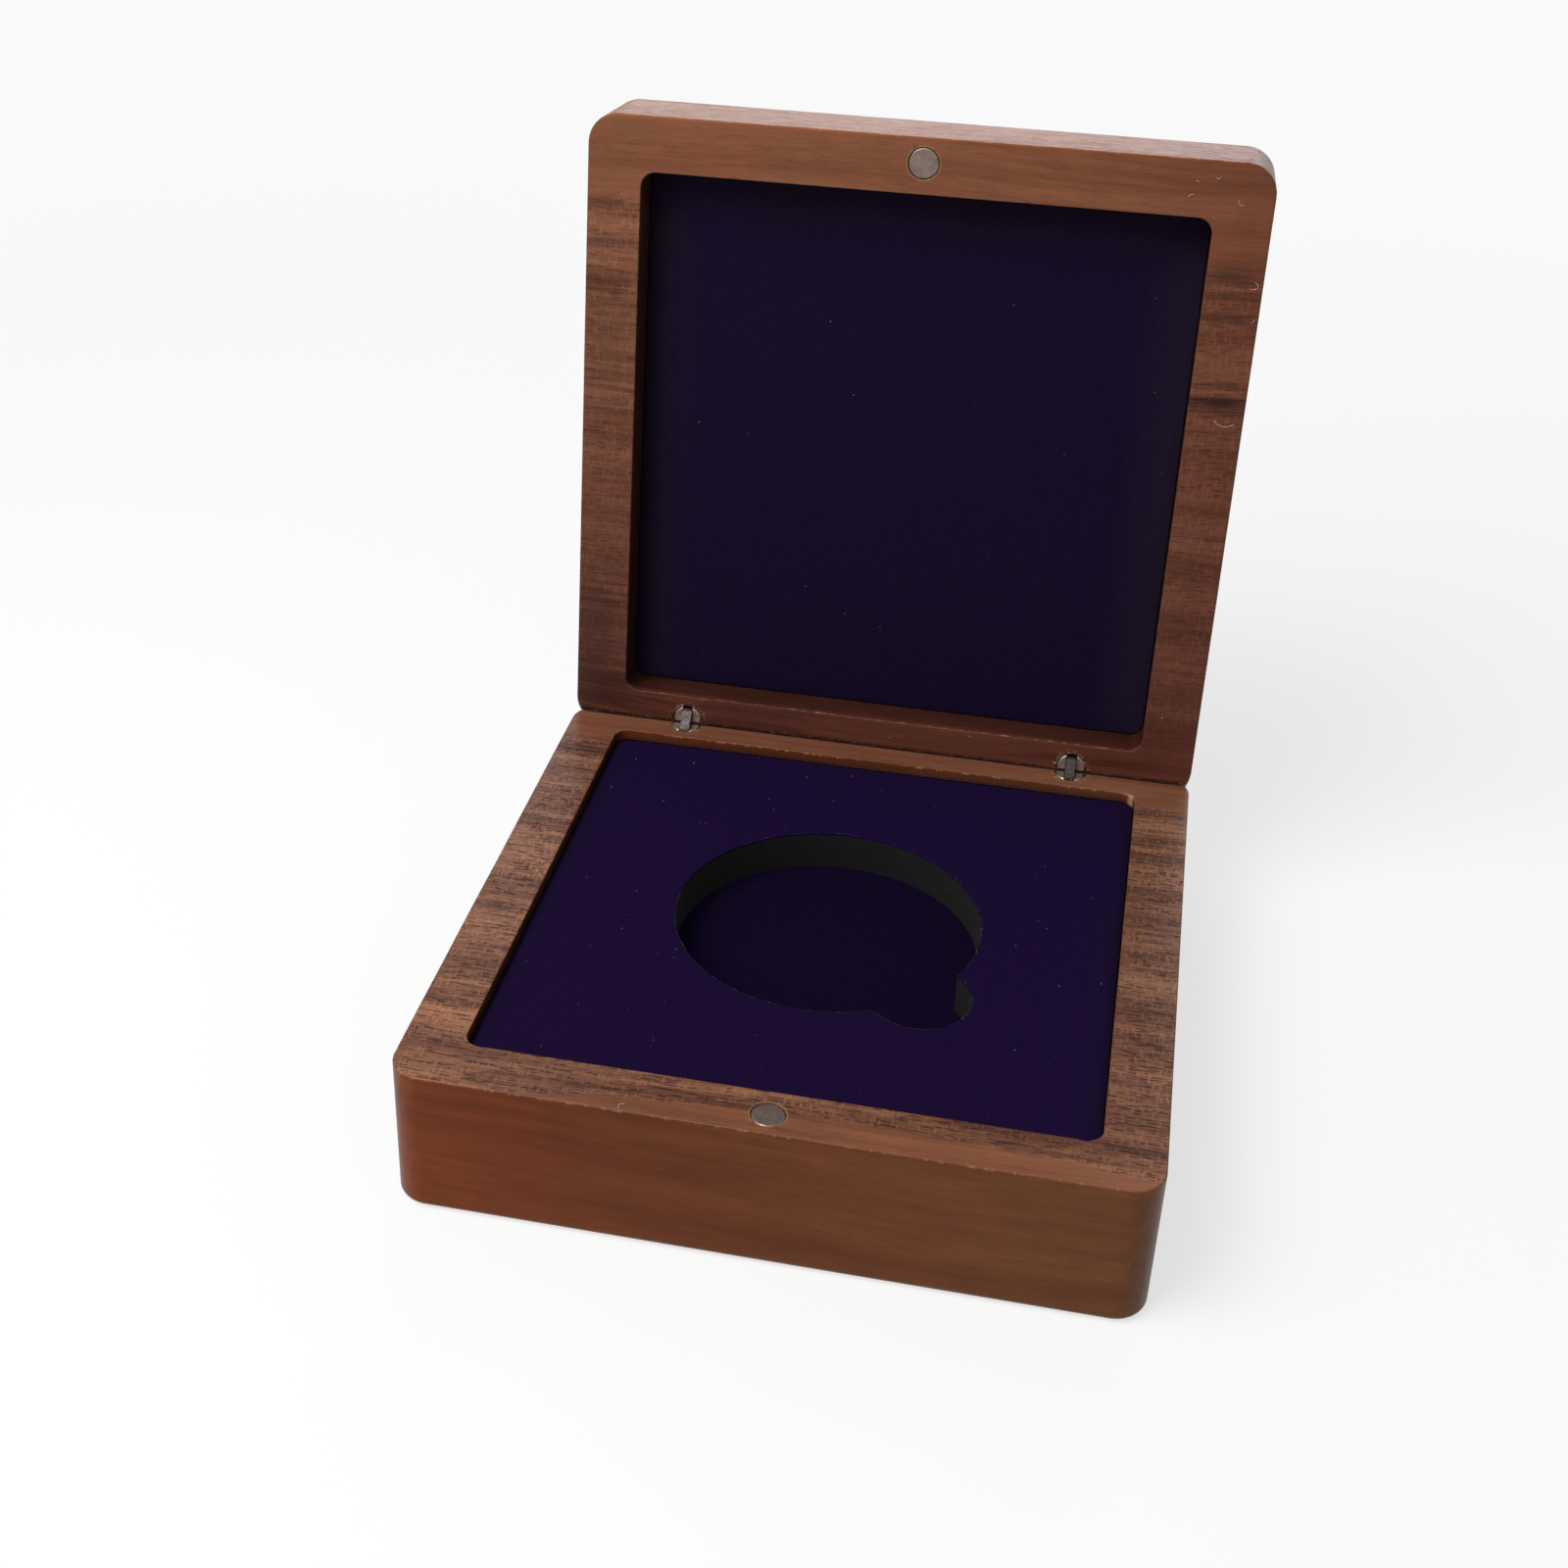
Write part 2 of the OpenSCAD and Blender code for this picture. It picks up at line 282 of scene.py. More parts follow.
def walnut(name, place, seed, front, rear, soft, openness, kinship, oil_and_shade_share, painted_rear_shade, painted_side_light_and_shade, front_tint,
           painted_wall_shade, worn_spot, marks):
    """Oiled walnut, sanded smooth: brown bands and open pores along X, plain redder wood front and rear.

    front and rear are where the open-pored wood starts and ends and soft is how gradually, in millimetres.
    front has the place in the middle, its slope and its bow. openness is the share of pores that stay open,
    kinship is how much the open-pored wood takes after the plain, and oiled is how dark and red the outer
    sides are painted, partly for their finish and partly as painted shade. The tints scale each primary
    towards the rear, towards the side of -X and on the front face: painted shade at the rear, painted light
    and shade at the side, and a redder front. stained is the share of colour left on the pocket's walls,
    which are painted dark as shade. worn_spot is a place that is worn to bare wood, or None. marks are dark
    streaks and patches: (x, y, length, width, strength).
    """
    material, g = new_material(name)
    tone = colours()
    inverse = place.inverted()
    here = g("TexCoord", out=None)
    local = g("Mapping", Vector=here.outputs["Object"], Location=inverse.translation,
              Rotation=inverse.to_euler())
    facing = g("Mapping", Vector=here.outputs["Normal"], Rotation=inverse.to_euler(), vector_type="VECTOR")
    mm = g("VectorMath:SCALE", local, Scale=1 / MM)
    shifted = g("VectorMath:ADD", mm, (seed * 37.0, seed * 11.0, seed * 5.0))
    axes = g("SeparateXYZ", mm, out=None)
    x, y, z = (axes.outputs[i] for i in range(3))

    # The bands wander, because the tree was never straight.
    slow = g("VectorMath:MULTIPLY", shifted, (0.014, 0.03, 0.03))
    wander = g("TexNoise", Vector=slow, Scale=1.0, Detail=2.0, out="Color")
    centred = g("VectorMath:SUBTRACT", wander, (0.5, 0.5, 0.5))
    bend = g("VectorMath:MULTIPLY", centred, (0.0, 9.0, 9.0))
    ring = g("VectorMath:ADD", shifted, bend)

    def grain(at, stretch, low, high, detail=2.0):
        """Noise drawn out along the grain, as a share from 0 to 1. stretch is in cycles per millimetre."""
        drawn = g("VectorMath:MULTIPLY", at, stretch)
        value = g("TexNoise", Vector=drawn, Scale=1.0, Detail=detail, Roughness=0.6)
        return g("MapRange", value, low, high)

    def distance(at, centre, stretch=None):
        """How far a place lies from a centre, in millimetres, with each axis stretched by its own share."""
        away = g("VectorMath:SUBTRACT", at, centre)
        if stretch is not None:
            away = g("VectorMath:MULTIPLY", away, stretch)
        return g("VectorMath:LENGTH", away, out="Value")

    # Growth bands of 6 to 12 mm, with finer ones of about 1 mm inside them, and fibres of about 0.15 mm.
    wide = grain(ring, (0.010, 0.20, 0.12), 0.38, 0.60, detail=1.0)
    fine = grain(ring, (0.03, 0.95, 0.6), 0.38, 0.66)
    fibre = grain(shifted, (0.25, 6.5, 6.5), 0.3, 0.7)

    # Outer sides and pocket walls are told from the rim by where they face.
    sides = g("VectorMath:ABSOLUTE", facing)
    sides = g("SeparateXYZ", sides, out=None)
    upright = g("MapRange", sides.outputs[2], 0.9, 0.2)
    mirrored = g("VectorMath:ABSOLUTE", mm)
    halves = g("SeparateXYZ", mirrored, out=None)
    reach = g("Math:MAXIMUM", halves.outputs[0], halves.outputs[1])
    within = g("MapRange", reach, LINING_WIDTH / 2 / MM + 0.8, LINING_WIDTH / 2 / MM + 0.6)
    sunk = g("MapRange", z, -0.3, -1.8)
    for part in (within, upright):
        sunk = g("Math:MULTIPLY", sunk, part)

    # The ends show the rings as arcs about the heart of the tree, which lay below and before the board.
    radial = g("CombineXYZ", distance(ring, (0.0, -70.0, -95.0), (0.0, 1.0, 1.0)))
    arcs = grain(radial, (0.5, 0.0, 0.0), 0.32, 0.68, detail=4.0)
    end_face = g("MapRange", sides.outputs[0], 0.75, 0.9)
    band = g("Math:MULTIPLY", wide, 0.6)
    band = g("Math:MULTIPLY_ADD", fine, 0.4, band)
    band = g("Mix", {0: end_face, 2: band, 3: arcs})

    # Open-pored wood lies between two lines across the half, and the front and back faces are plain.
    wobble = g("SeparateXYZ", centred)
    middle, slope, bow = front
    bent = g("Math:MULTIPLY_ADD", x, bow, slope)
    start = g("Math:MULTIPLY_ADD", x, bent, middle)
    start = g("Math:MULTIPLY_ADD", wobble, 3.0, start)
    past = g("Math:SUBTRACT", y, start)
    past = g("MapRange", past, -soft, soft, interpolation_type="SMOOTHSTEP")
    before = g("MapRange", y, rear - 2.0, rear + 2.0, 1.0, 0.0, interpolation_type="SMOOTHSTEP")
    plain_face = g("MapRange", sides.outputs[1], 0.3, 0.8, 1.0, 0.0)
    porous = g("Math:MULTIPLY", past, before)
    porous = g("Math:MULTIPLY", porous, plain_face)

    # Pores: crisp slots 1 to 3 mm long, evenly spread, and longer ones that crowd in the dark bands. They
    # are drawn 0.2 mm wide, half as wide again as real ones, so that they show.
    crowd = g("MapRange", wide, 0, 1, 0.04, -0.04)
    pores = None
    for stretch, size, depth in (((0.30, 2.6, 2.6), 0.35, 1.0), ((0.65, 3.6, 3.6), 0.29, 0.85)):
        drawn = g("VectorMath:MULTIPLY", ring, stretch)
        slot = g("TexVoronoi", Vector=drawn, Scale=1.0)
        slot = g("Math:ADD", slot, crowd)
        slot = g("MapRange", slot, size, size - 0.08, 0, depth)
        pores = slot if pores is None else g("Math:MAXIMUM", pores, slot)
    long_pore = grain(shifted, (0.12, 3.2, 3.2), 0.57, 0.63, detail=1.0)
    pores = g("Math:MAXIMUM", pores, long_pore)
    # Rays of paler cells cross the pores every millimetre or so and break them up, as in a basket weave.
    drawn = g("VectorMath:MULTIPLY", shifted, (1.5, 0.5, 0.5))
    ray = g("TexVoronoi", Vector=drawn, Scale=1.0)
    ray = g("MapRange", ray, 0.42, 0.30, 0, porous)
    broken = g("MapRange", ray, 0, 1, 0.90, 0.18)
    pores = g("Math:MULTIPLY", pores, broken)
    # The finish has filled the pores of the sides, where they only dull the gloss.
    long_face = g("MapRange", sides.outputs[0], 0.9, 0.5)
    slots = g("Math:MULTIPLY", pores, upright)
    slots = g("Math:MULTIPLY", slots, long_face)
    share = g("MapRange", porous, 0, 1, 0.16, openness)
    filled = g("MapRange", upright, 0, 1, 1.0, 0.15)
    for part in (share, filled):
        pores = g("Math:MULTIPLY", pores, part)

    open_wood = g("Mix", {0: band, 6: tone.walnut_light, 7: tone.walnut_dark}, out=2, data_type="RGBA")
    plain_wood = g("Mix", {0: band, 6: tone.walnut_plain, 7: tone.walnut_red}, out=2, data_type="RGBA")
    apart = g("Math:MULTIPLY", porous, 1.0 - kinship)
    colour = g("Mix", {0: apart, 6: plain_wood, 7: open_wood}, out=2, data_type="RGBA")

    for mark_x, mark_y, length, width, strength in marks:
        away = distance(mm, (mark_x, mark_y, 0.0), (2 / length, 2 / width, 0.15))
        ragged = g("Math:MULTIPLY_ADD", fine, -0.7, away)
        near = g("MapRange", ragged, 1.0, 0.0, 0.0, strength)
        colour = g("Mix", {0: near, 6: colour, 7: tone.walnut_pore}, out=2, data_type="RGBA")

    # The outer sides are painted darker and redder than the rim, partly for the finish they have soaked up
    # and partly as painted shade; the ends, which soak up the most finish, are darker still.
    dry = g("MapRange", sunk, 0, 1, oil_and_shade_share, 0.2 * oil_and_shade_share)
    upright = g("Math:MULTIPLY", upright, dry)
    along = g("MapRange", x, -35.0, 40.0)
    drunk = g("Mix", {0: along, 6: tone.oil_and_shade, 7: tone.lean_oil_and_shade}, out=2, data_type="RGBA")
    oil_and_shade = g("Mix", {0: upright, 6: (1.0, 1.0, 1.0, 1.0), 7: drunk}, out=2, data_type="RGBA")
    colour = g("VectorMath:MULTIPLY", colour, oil_and_shade)
    ends = g("MapRange", sides.outputs[0], 0.6, 0.95, 1.0, 0.8)
    # Painted shade towards the rear, painted light and shade towards the side of -X, and a redder front
    # face.
    for way, near_end, far_end, tint in ((y, -45.0, 50.0, painted_rear_shade), (x, -30.0, -52.0, painted_side_light_and_shade),
                                         (y, -54.3, -54.9, front_tint)):
        share = g("MapRange", way, near_end, far_end)
        tint = g("Mix", {0: share, 6: (1.0, 1.0, 1.0, 1.0), 7: (*tint, 1.0)}, out=2, data_type="RGBA")
        colour = g("VectorMath:MULTIPLY", colour, tint)
    shade = g("MapRange", fibre, 0, 1, 0.88, 1.10)
    pale_ray = g("MapRange", ray, 0, 1, 0.985, 1.14)
    cloud = grain(shifted, (0.14, 0.3, 0.3), 0.3, 0.7, detail=6.0)
    cloud = g("MapRange", cloud, 0, 1, 0.91, 1.09)
    for part in (ends, pale_ray, cloud):
        shade = g("Math:MULTIPLY", shade, part)
    # The routed walls of the pocket are painted dark: painted shade.
    wall_shade = g("MapRange", sunk, 0, 1, 1.0, painted_wall_shade)
    shade = g("Math:MULTIPLY", shade, wall_shade)
    colour = g("VectorMath:SCALE", colour, Scale=shade)
    colour = g("Mix", {0: pores, 6: colour, 7: tone.walnut_pore}, out=2, data_type="RGBA")

    # Bare fibres along the mouth of the pocket, broken into dashes, and sparser ones along the outer edge.
    below = g("MapRange", z, -0.02, -0.06)
    above = g("MapRange", z, -0.45, -0.30)
    edge = g("Math:MULTIPLY", below, above)
    dash = grain(shifted, (0.8, 0.8, 0.2), 0.52, 0.66, detail=4.0)
    often = g("MapRange", within, 0, 1, 0.30, 0.42)
    worn = g("Math:MULTIPLY", edge, dash)
    worn = g("Math:MULTIPLY", worn, often)
    colour = g("Mix", {0: worn, 6: colour, 7: tone.walnut_worn}, out=2, data_type="RGBA")

    # The mouths of the hinge bores are dark, with torn pale fibres round them.
    from_hinge = distance(mirrored, (HINGE.x / MM, HINGE.y / MM, 0.0), (1.0, 1.0, 0.18))
    behind = g("MapRange", y, 0.0, 1.0)
    dark_round_bore = g("MapRange", from_hinge, 2.9, 2.6, 0.0, 0.8)
    dark_round_bore = g("Math:MULTIPLY", dark_round_bore, behind)
    colour = g("Mix", {0: dark_round_bore, 6: colour, 7: tone.walnut_pore}, out=2, data_type="RGBA")
    torn = g("MapRange", from_hinge, 3.6, 2.8)
    shreds = grain(shifted, (1.4, 2.2, 0.6), 0.56, 0.66, detail=3.0)
    near_rim = g("MapRange", z, -3.0, -2.0)
    for part in (shreds, behind, near_rim):
        torn = g("Math:MULTIPLY", torn, part)
    ring_mark = g("MapRange", distance(mm, tuple(MAGNET / MM)), 3.3, 2.9, 0, 0.45)
    torn = g("Math:MAXIMUM", torn, ring_mark)
    if worn_spot is not None:
        from_spot = distance(mm, worn_spot, (1.0, 1.0, 0.6))
        from_spot = g("Math:MULTIPLY_ADD", shreds, -0.4, from_spot)
        bare = g("MapRange", from_spot, 0.9, 0.3, 0, 0.6)
        torn = g("Math:MAXIMUM", torn, bare)
    colour = g("Mix", {0: torn, 6: colour, 7: tone.walnut_worn}, out=2, data_type="RGBA")

    rough = g("MapRange", fibre, 0, 1, 0.30, 0.38)
    dull = g("Math:MAXIMUM", pores, slots)
    rough = g("Math:MULTIPLY_ADD", dull, 0.2, rough)
    height = g("Math:MULTIPLY", pores, -1.0)
    height = g("Math:MULTIPLY_ADD", fibre, 0.3, height)
    bump = g("Bump", Strength=0.5, Distance=0.08 * MM, Height=height)
    shader = g("BsdfPrincipled", Base_Color=colour, Roughness=rough, Normal=bump, Specular_IOR_Level=0.15,
               Specular_Tint=(1.0, 0.88, 0.78, 1.0))
    g("OutputMaterial", Surface=shader)
    return material


def velvet(name, place, tint, painted_edge_light, edge_width):
    """Flocked velvet: a short deep indigo pile that swallows light and shows a faint sheen at its tips.

    tint is the share of each primary that is left of the dye: in the recess it is painted shade, and on the
    lid it makes the pile greyer. painted_edge_light is that share along the front and the sides over
    edge_width
    millimetres: painted light that offsets the shade of the rims.
    """
    material, g = new_material(name)
    tone = colours()
    here = g("TexCoord", out="Object")
    # Clumps of pile about 1 mm across, and fibres drawn coarser than real, at 0.12 mm.
    clump = g("TexNoise", Vector=here, Scale=1 / MM, Detail=2.0)
    pile = g("TexNoise", Vector=here, Scale=1 / (0.12 * MM), Detail=1.0)
    mixed = g("Math:MULTIPLY_ADD", clump, 0.4, pile)
    shade = g("MapRange", mixed, 0.45, 0.95, 0.72, 1.3)
    # Along the front and the sides the pile is painted lighter and greyer: painted light that offsets the
    # shade of the rims.
    inverse = place.inverted()
    local = g("Mapping", Vector=here, Location=inverse.translation, Rotation=inverse.to_euler())
    axes = g("SeparateXYZ", local, out=None)
    across = g("Math:ABSOLUTE", axes.outputs[0])
    frontward = g("Math:MULTIPLY", axes.outputs[1], -1.0)
    reach = g("Math:MAXIMUM", across, frontward)
    edge = LINING_WIDTH / 2
    lit_edge_share = g("MapRange", reach, edge - edge_width * MM, edge)
    dye_with_painted_light = [[*(dye * part for dye, part in zip(tone.velvet, share)), 1.0] for share in (tint, painted_edge_light)]
    dyed_and_lit = g("Mix", {0: lit_edge_share, 6: dye_with_painted_light[0], 7: dye_with_painted_light[1]}, out=2, data_type="RGBA")
    colour = g("VectorMath:SCALE", dyed_and_lit, Scale=shade)
    bump = g("Bump", Strength=0.8, Distance=0.08 * MM, Height=mixed)
    shader = g("BsdfPrincipled", Base_Color=colour, Roughness=0.95, Normal=bump, Specular_IOR_Level=0.04,
               Sheen_Weight=0.03 * tint[0], Sheen_Roughness=0.45, Sheen_Tint=tone.velvet_tips)
    g("OutputMaterial", Surface=shader)
    return material


def foam():
    """Die-cut closed-cell foam: dark grey, dull, with a skin of tiny cut cells."""
    material, g = new_material("closed_cell_foam_cut")
    tone = colours()
    here = g("TexCoord", out="Object")
    cell = g("TexVoronoi", Vector=here, Scale=1 / (0.25 * MM))
    cloud = g("TexNoise", Vector=here, Scale=1 / (2 * MM), Detail=2.0)
    mixed = g("Math:MULTIPLY_ADD", cell, 0.5, cloud)
    shade = g("MapRange", mixed, 0.4, 1.0, 0.7, 1.3)
    colour = g("VectorMath:SCALE", tuple(tone.foam)[:3], Scale=shade)
    bump = g("Bump", Strength=0.7, Distance=0.08 * MM, Height=cell)
    shader = g("BsdfPrincipled", Base_Color=colour, Roughness=0.92, Normal=bump, Specular_IOR_Level=0.2)
    g("OutputMaterial", Surface=shader)
    return material


def worn_metal(name, tint, rough, scratch, smear_size):
    """Plated or plain steel, smeared over smear_size millimetres and lightly scratched, of uneven gloss."""
    material, g = new_material(name)
    here = g("TexCoord", out="Object")
    smear = g("TexNoise", Vector=here, Scale=1 / (smear_size * MM), Detail=4.0, Roughness=0.65)
    turned = g("Mapping", Vector=here, Rotation=(0.3, 0.2, 0.9), Scale=(6.0, 0.5, 1.0))
    lines = g("TexNoise", Vector=turned, Scale=1 / (0.8 * MM), Detail=5.0, Roughness=0.75)
    lines = g("MapRange", lines, 0.56, 0.70)
    shade = g("MapRange", smear, 0.3, 0.7, 0.62, 1.12)
    shade = g("Math:MULTIPLY_ADD", lines, -scratch, shade)
    colour = g("VectorMath:SCALE", tuple(tint)[:3], Scale=shade)
    gloss = g("MapRange", smear, 0.3, 0.7, rough + 0.14, rough)
    height = g("Math:MULTIPLY_ADD", lines, -1.0, smear)
    bump = g("Bump", Strength=0.4, Distance=0.02 * MM, Height=height)
    shader = g("BsdfPrincipled", Base_Color=colour, Metallic=1.0, Roughness=gloss, Normal=bump)
    g("OutputMaterial", Surface=shader)
    return material


def cotton(name, tint):
    """Loose cotton or pile fibres: pale, dull and slightly uneven."""
    material, g = new_material(name)
    here = g("TexCoord", out="Object")
    cloud = g("TexNoise", Vector=here, Scale=1 / (0.5 * MM))
    shade = g("MapRange", cloud, 0, 1, 0.6, 1.3)
    colour = g("VectorMath:SCALE", tuple(tint)[:3], Scale=shade)
    shader = g("BsdfPrincipled", Base_Color=colour, Roughness=0.9, Specular_IOR_Level=0.2)
    g("OutputMaterial", Surface=shader)
    return material


def frayed_pile():
    """Undyed ends of frayed pile, which catch the light as a faint pale fuzz."""
    material, g = new_material("velvet_loose_pile")
    shader = g("BsdfDiffuse", Color=(0.8, 0.8, 0.8, 1.0))
    g("OutputMaterial", Surface=shader)
    return material


def bearings(extra=()):
    """Angles round a half, closer together at its corners, with any others that a piece needs."""
    angles = set(np.round(np.arange(0, 360, 0.5), 4))
    for corner in (45, 135, 225, 315):
        angles |= set(np.round(np.arange(corner - 4, corner + 4, 0.2), 4))
    angles |= set(np.round(np.degrees(extra) % 360, 4))
    return np.radians(sorted(angles))


def rounded_square(width, depth, radius, angles):
    """Points of a rounded rectangle on the given bearings. A size is one value or one for each bearing."""
    width, depth, radius = (np.broadcast_to(v, angles.shape) for v in (width, depth, radius))
    way = np.stack([np.cos(angles), np.sin(angles)], 1)
    half = np.stack([width, depth], 1) / 2
    points = way * (half / np.maximum(np.abs(way), 1e-9)).min(1)[:, None]
    core = half - radius[:, None]
    centre = np.sign(way) * core
    at_corner = (np.abs(points) > core).all(1)
    along = (way * centre).sum(1)
    under = along ** 2 - (centre ** 2).sum(1) + radius ** 2
    far = along + np.sqrt(np.maximum(under, 0))
    return np.where(at_corner[:, None], way * far[:, None], points)


def recess_outline(angles, inset):
    """Points of the coin recess and its thumb notch on the given bearings, drawn inwards by inset."""
    s = sizes()
    round_r = s.recess / 2 - inset
    notch_r = s.notch / 2 - inset
    centre = s.recess / 2 + s.notch_reach - s.notch / 2
    off = angles - s.notch_bearing
    under = notch_r ** 2 - (centre * np.sin(off)) ** 2
    notch = centre * np.cos(off) + np.sqrt(np.maximum(under, 0))
    reach = np.where((under > 0) & (np.cos(off) > 0), np.maximum(notch, round_r), round_r)
    return np.stack([np.cos(angles), np.sin(angles)], 1) * reach[:, None]


def flat_area(outline):
    """Area inside a closed outline."""
    x, y = outline.T
    return abs(np.dot(x, np.roll(y, -1)) - np.dot(np.roll(x, -1), y)) / 2


def notch_bearings():
    """Bearings that draw the thumb notch evenly, from cusp to cusp."""
    s = sizes()
    centre = s.recess / 2 + s.notch_reach - s.notch / 2
    turn = np.linspace(-0.62 * math.pi, 0.62 * math.pi, 120)
    x = centre + s.notch / 2 * np.cos(turn)
    y = s.notch / 2 * np.sin(turn)
    outside = np.hypot(x, y) > s.recess / 2
    return np.arctan2(y, x)[outside] + s.notch_bearing


def at_height(outline, z):
    """A ring of points from an outline and its height, which may differ from point to point."""
    return np.column_stack([outline, np.broadcast_to(z, len(outline))])


def skin(name, rings, caps=(True, True), closed=False):
    """A mesh through rings of as many points each, capped at its ends or closed from last ring to first."""
    count = len(rings[0])
    mesh = bmesh.new()
    verts = [[mesh.verts.new(p) for p in ring] for ring in rings]
    pairs = list(zip(verts, verts[1:]))
    if closed:
        pairs.append((verts[-1], verts[0]))
    for low, high in pairs:
        for i in range(count):
            j = (i + 1) % count
            mesh.faces.new((low[i], low[j], high[j], high[i]))
    for ring, cap in zip((verts[0], verts[-1]), caps):
        if cap and not closed:
            mesh.faces.new(ring)
    bmesh.ops.recalc_face_normals(mesh, faces=mesh.faces)
    return linked(name, mesh)


def linked(name, mesh):
    """A new object in the scene that holds a finished bmesh."""
    data = bpy.data.meshes.new(name)
    mesh.to_mesh(data)
    mesh.free()
    piece = bpy.data.objects.new(name, data)
    bpy.context.scene.collection.objects.link(piece)
    return piece


def evaluated(piece):
    """Turns a piece's modifiers into plain mesh."""
    bpy.context.view_layer.update()
    graph = bpy.context.evaluated_depsgraph_get()
    data = bpy.data.meshes.new_from_object(piece.evaluated_get(graph))
    data.name = piece.name
    piece.modifiers.clear()
    piece.data = data
    return piece


def removed(*pieces):
    for piece in pieces:
        bpy.data.objects.remove(piece)


def smoothed(piece, angle):
    """Shades a piece smooth, with its creases kept and its flat faces flat."""
    piece.data.shade_smooth()
    piece.data.set_sharp_from_angle(angle=math.radians(angle))
    weighted = piece.modifiers.new("weighted", "WEIGHTED_NORMAL")
    weighted.keep_sharp = True
    return evaluated(piece)


def placed(piece, place, body, material, stands_for=()):
    """Puts a piece that was made in a half's frame where it belongs, on its body and with its finish."""
    piece.data.transform(place)
    piece.data.materials.clear()
    piece.data.materials.append(material)
    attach(piece, body)
    if stands_for:
        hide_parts(*stands_for)
    return piece


def pressed(piece):
    """Gives loose fibres on a rim a mesh of their own."""
    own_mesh(piece)


def uneven(values, seed, spacing):
    """Smooth noise from -1 to 1 along a line of distances."""
    return np.array([noise.noise((v / spacing, seed, 0.5 * seed)) for v in values])


def quarter_steps(count):
    return np.linspace(0, math.pi / 2, count)


def lathe(name, profile, centre, ragged=0.0, segments=72):
    """A turned solid about an upright line, from (radius, height) pairs, its mouth as uneven as ragged."""
    turn = np.linspace(0, 2 * math.pi, segments, endpoint=False)
    way = np.stack([np.cos(turn), np.sin(turn)], 1)
    rough = ragged * np.array([
        max(0.0, noise.noise((3 * math.cos(a), 3 * math.sin(a), 40 * centre.x / MM))) for a in turn])
    rings = []
    for index, (radius, height) in enumerate(profile):
        top = index >= len(profile) - 2
        wide = radius + (rough if top else 0.0)
        circle = way * np.broadcast_to(wide, segments)[:, None]
        rings.append(at_height(circle + (centre.x, centre.y), height))
    return skin(name, rings)


def bore_profile(radius, depth, flare):
    """Profile of a cutter for a blind bore whose mouth is worn wider."""
    return [(radius, -depth), (radius, -2 * flare), (radius + flare, 0.0), (radius + flare, MM)]


def walnut_half(name, place, low, body, node, material, seed, worn_corner):
    """One routed half of the case: eased edges, a chipped pocket mouth, bores and the rear bevel."""
    s = sizes()
    angles = bearings()
    height = -low.z
    pocket = LINING_WIDTH + 2 * s.lining_gap
    depth = -(foam_low.z if body == "base" else lid_foam_low.z)
    along = angles * pocket / 2
    rim_edge = s.rim_edge * (1 + 0.35 * uneven(along, seed, 9 * MM))
    chips = np.maximum(0, uneven(along, seed + 3.3, 1.1 * MM) - 0.42) * 2.2 * s.chip
    mouth = s.mouth * (1 + 0.2 * uneven(along, seed + 7.7, 2.5 * MM)) + chips
    if worn_corner is not None:
        mouth = mouth + 0.5 * MM * np.exp(-((angles - worn_corner) / math.radians(1.6)) ** 2)

    line = CASE_DEPTH / 2 - s.bevel
    steep, gentle = math.tan(opening / 2), math.tan(opening / 4)

    def outer(inset, z, back=0.0):
        """The outline at a height. Near the rim its rear corners turn early and the bevel cuts them off."""
        rear = np.minimum(line - z / steep, line - 0.25 * MM - z / gentle) - back
        extent = np.minimum(CASE_DEPTH / 2, rear + s.corner_reach)
        depth = np.where(np.sin(angles) > 0, 2 * extent, CASE_DEPTH)
        points = rounded_square(CASE_WIDTH - 2 * inset, depth - 2 * inset, s.corner - inset, angles)
        return points * np.minimum(1, rear / np.maximum(points[:, 1], 1e-9))[:, None]

    def inner(grow):
        return rounded_square(pocket + 2 * grow, pocket + 2 * grow, s.pocket_corner + grow, angles)

    levels = [(s.foot * (1 - math.sin(a)), -height + s.foot * (1 - math.cos(a))) for a in quarter_steps(8)]
    levels += [(0.0, -share * s.bevel * steep) for share in (1.0, 0.7, 0.41, 0.27, 0.14)]
    levels += [(rim_edge * (1 - math.cos(a)), -rim_edge * (1 - math.sin(a))) for a in quarter_steps(7)]
    rings = [at_height(outer(inset, z), z) for inset, z in levels]
    rings.append(at_height(outer(rim_edge + 0.3 * MM, 0.0, back=0.3 * MM), 0))
    rings.append(at_height(inner(mouth + 0.3 * MM), 0))
    rings += [
        at_height(inner(mouth * (1 - math.sin(a))), -mouth * (1 - math.cos(a)))
        for a in quarter_steps(5)
    ]
    rings.append(at_height(inner(0), -mouth - 0.3 * MM))
    rings.append(at_height(inner(0), -depth))
    half = skin(name, rings)

    radius = (barrel_high.x - barrel_low.x) / 2 + s.bore_gap
    profile = bore_profile(radius, -barrel_low.z, s.bore_flare)
    bores = [
        lathe("bore", profile, Vector((side * HINGE.x, HINGE.y, 0)), ragged=2.2 * s.bore_flare)
        for side in (-1, 1)
    ]
    magnet_radius = (magnet_high.x - magnet_low.x) / 2 + s.bore_gap
    bores.append(lathe("bore", bore_profile(magnet_radius, -magnet_low.z, 0.5 * s.bore_flare), MAGNET,
                       ragged=s.bore_flare))
    for cutter in bores:
        cut = half.modifiers.new("cut", "BOOLEAN")
        cut.operation = "DIFFERENCE"
        cut.solver = "EXACT"
        cut.object = cutter
    evaluated(half)
    removed(*bores)
    smoothed(half, 52)
    return placed(half, place, body, material, (node,))


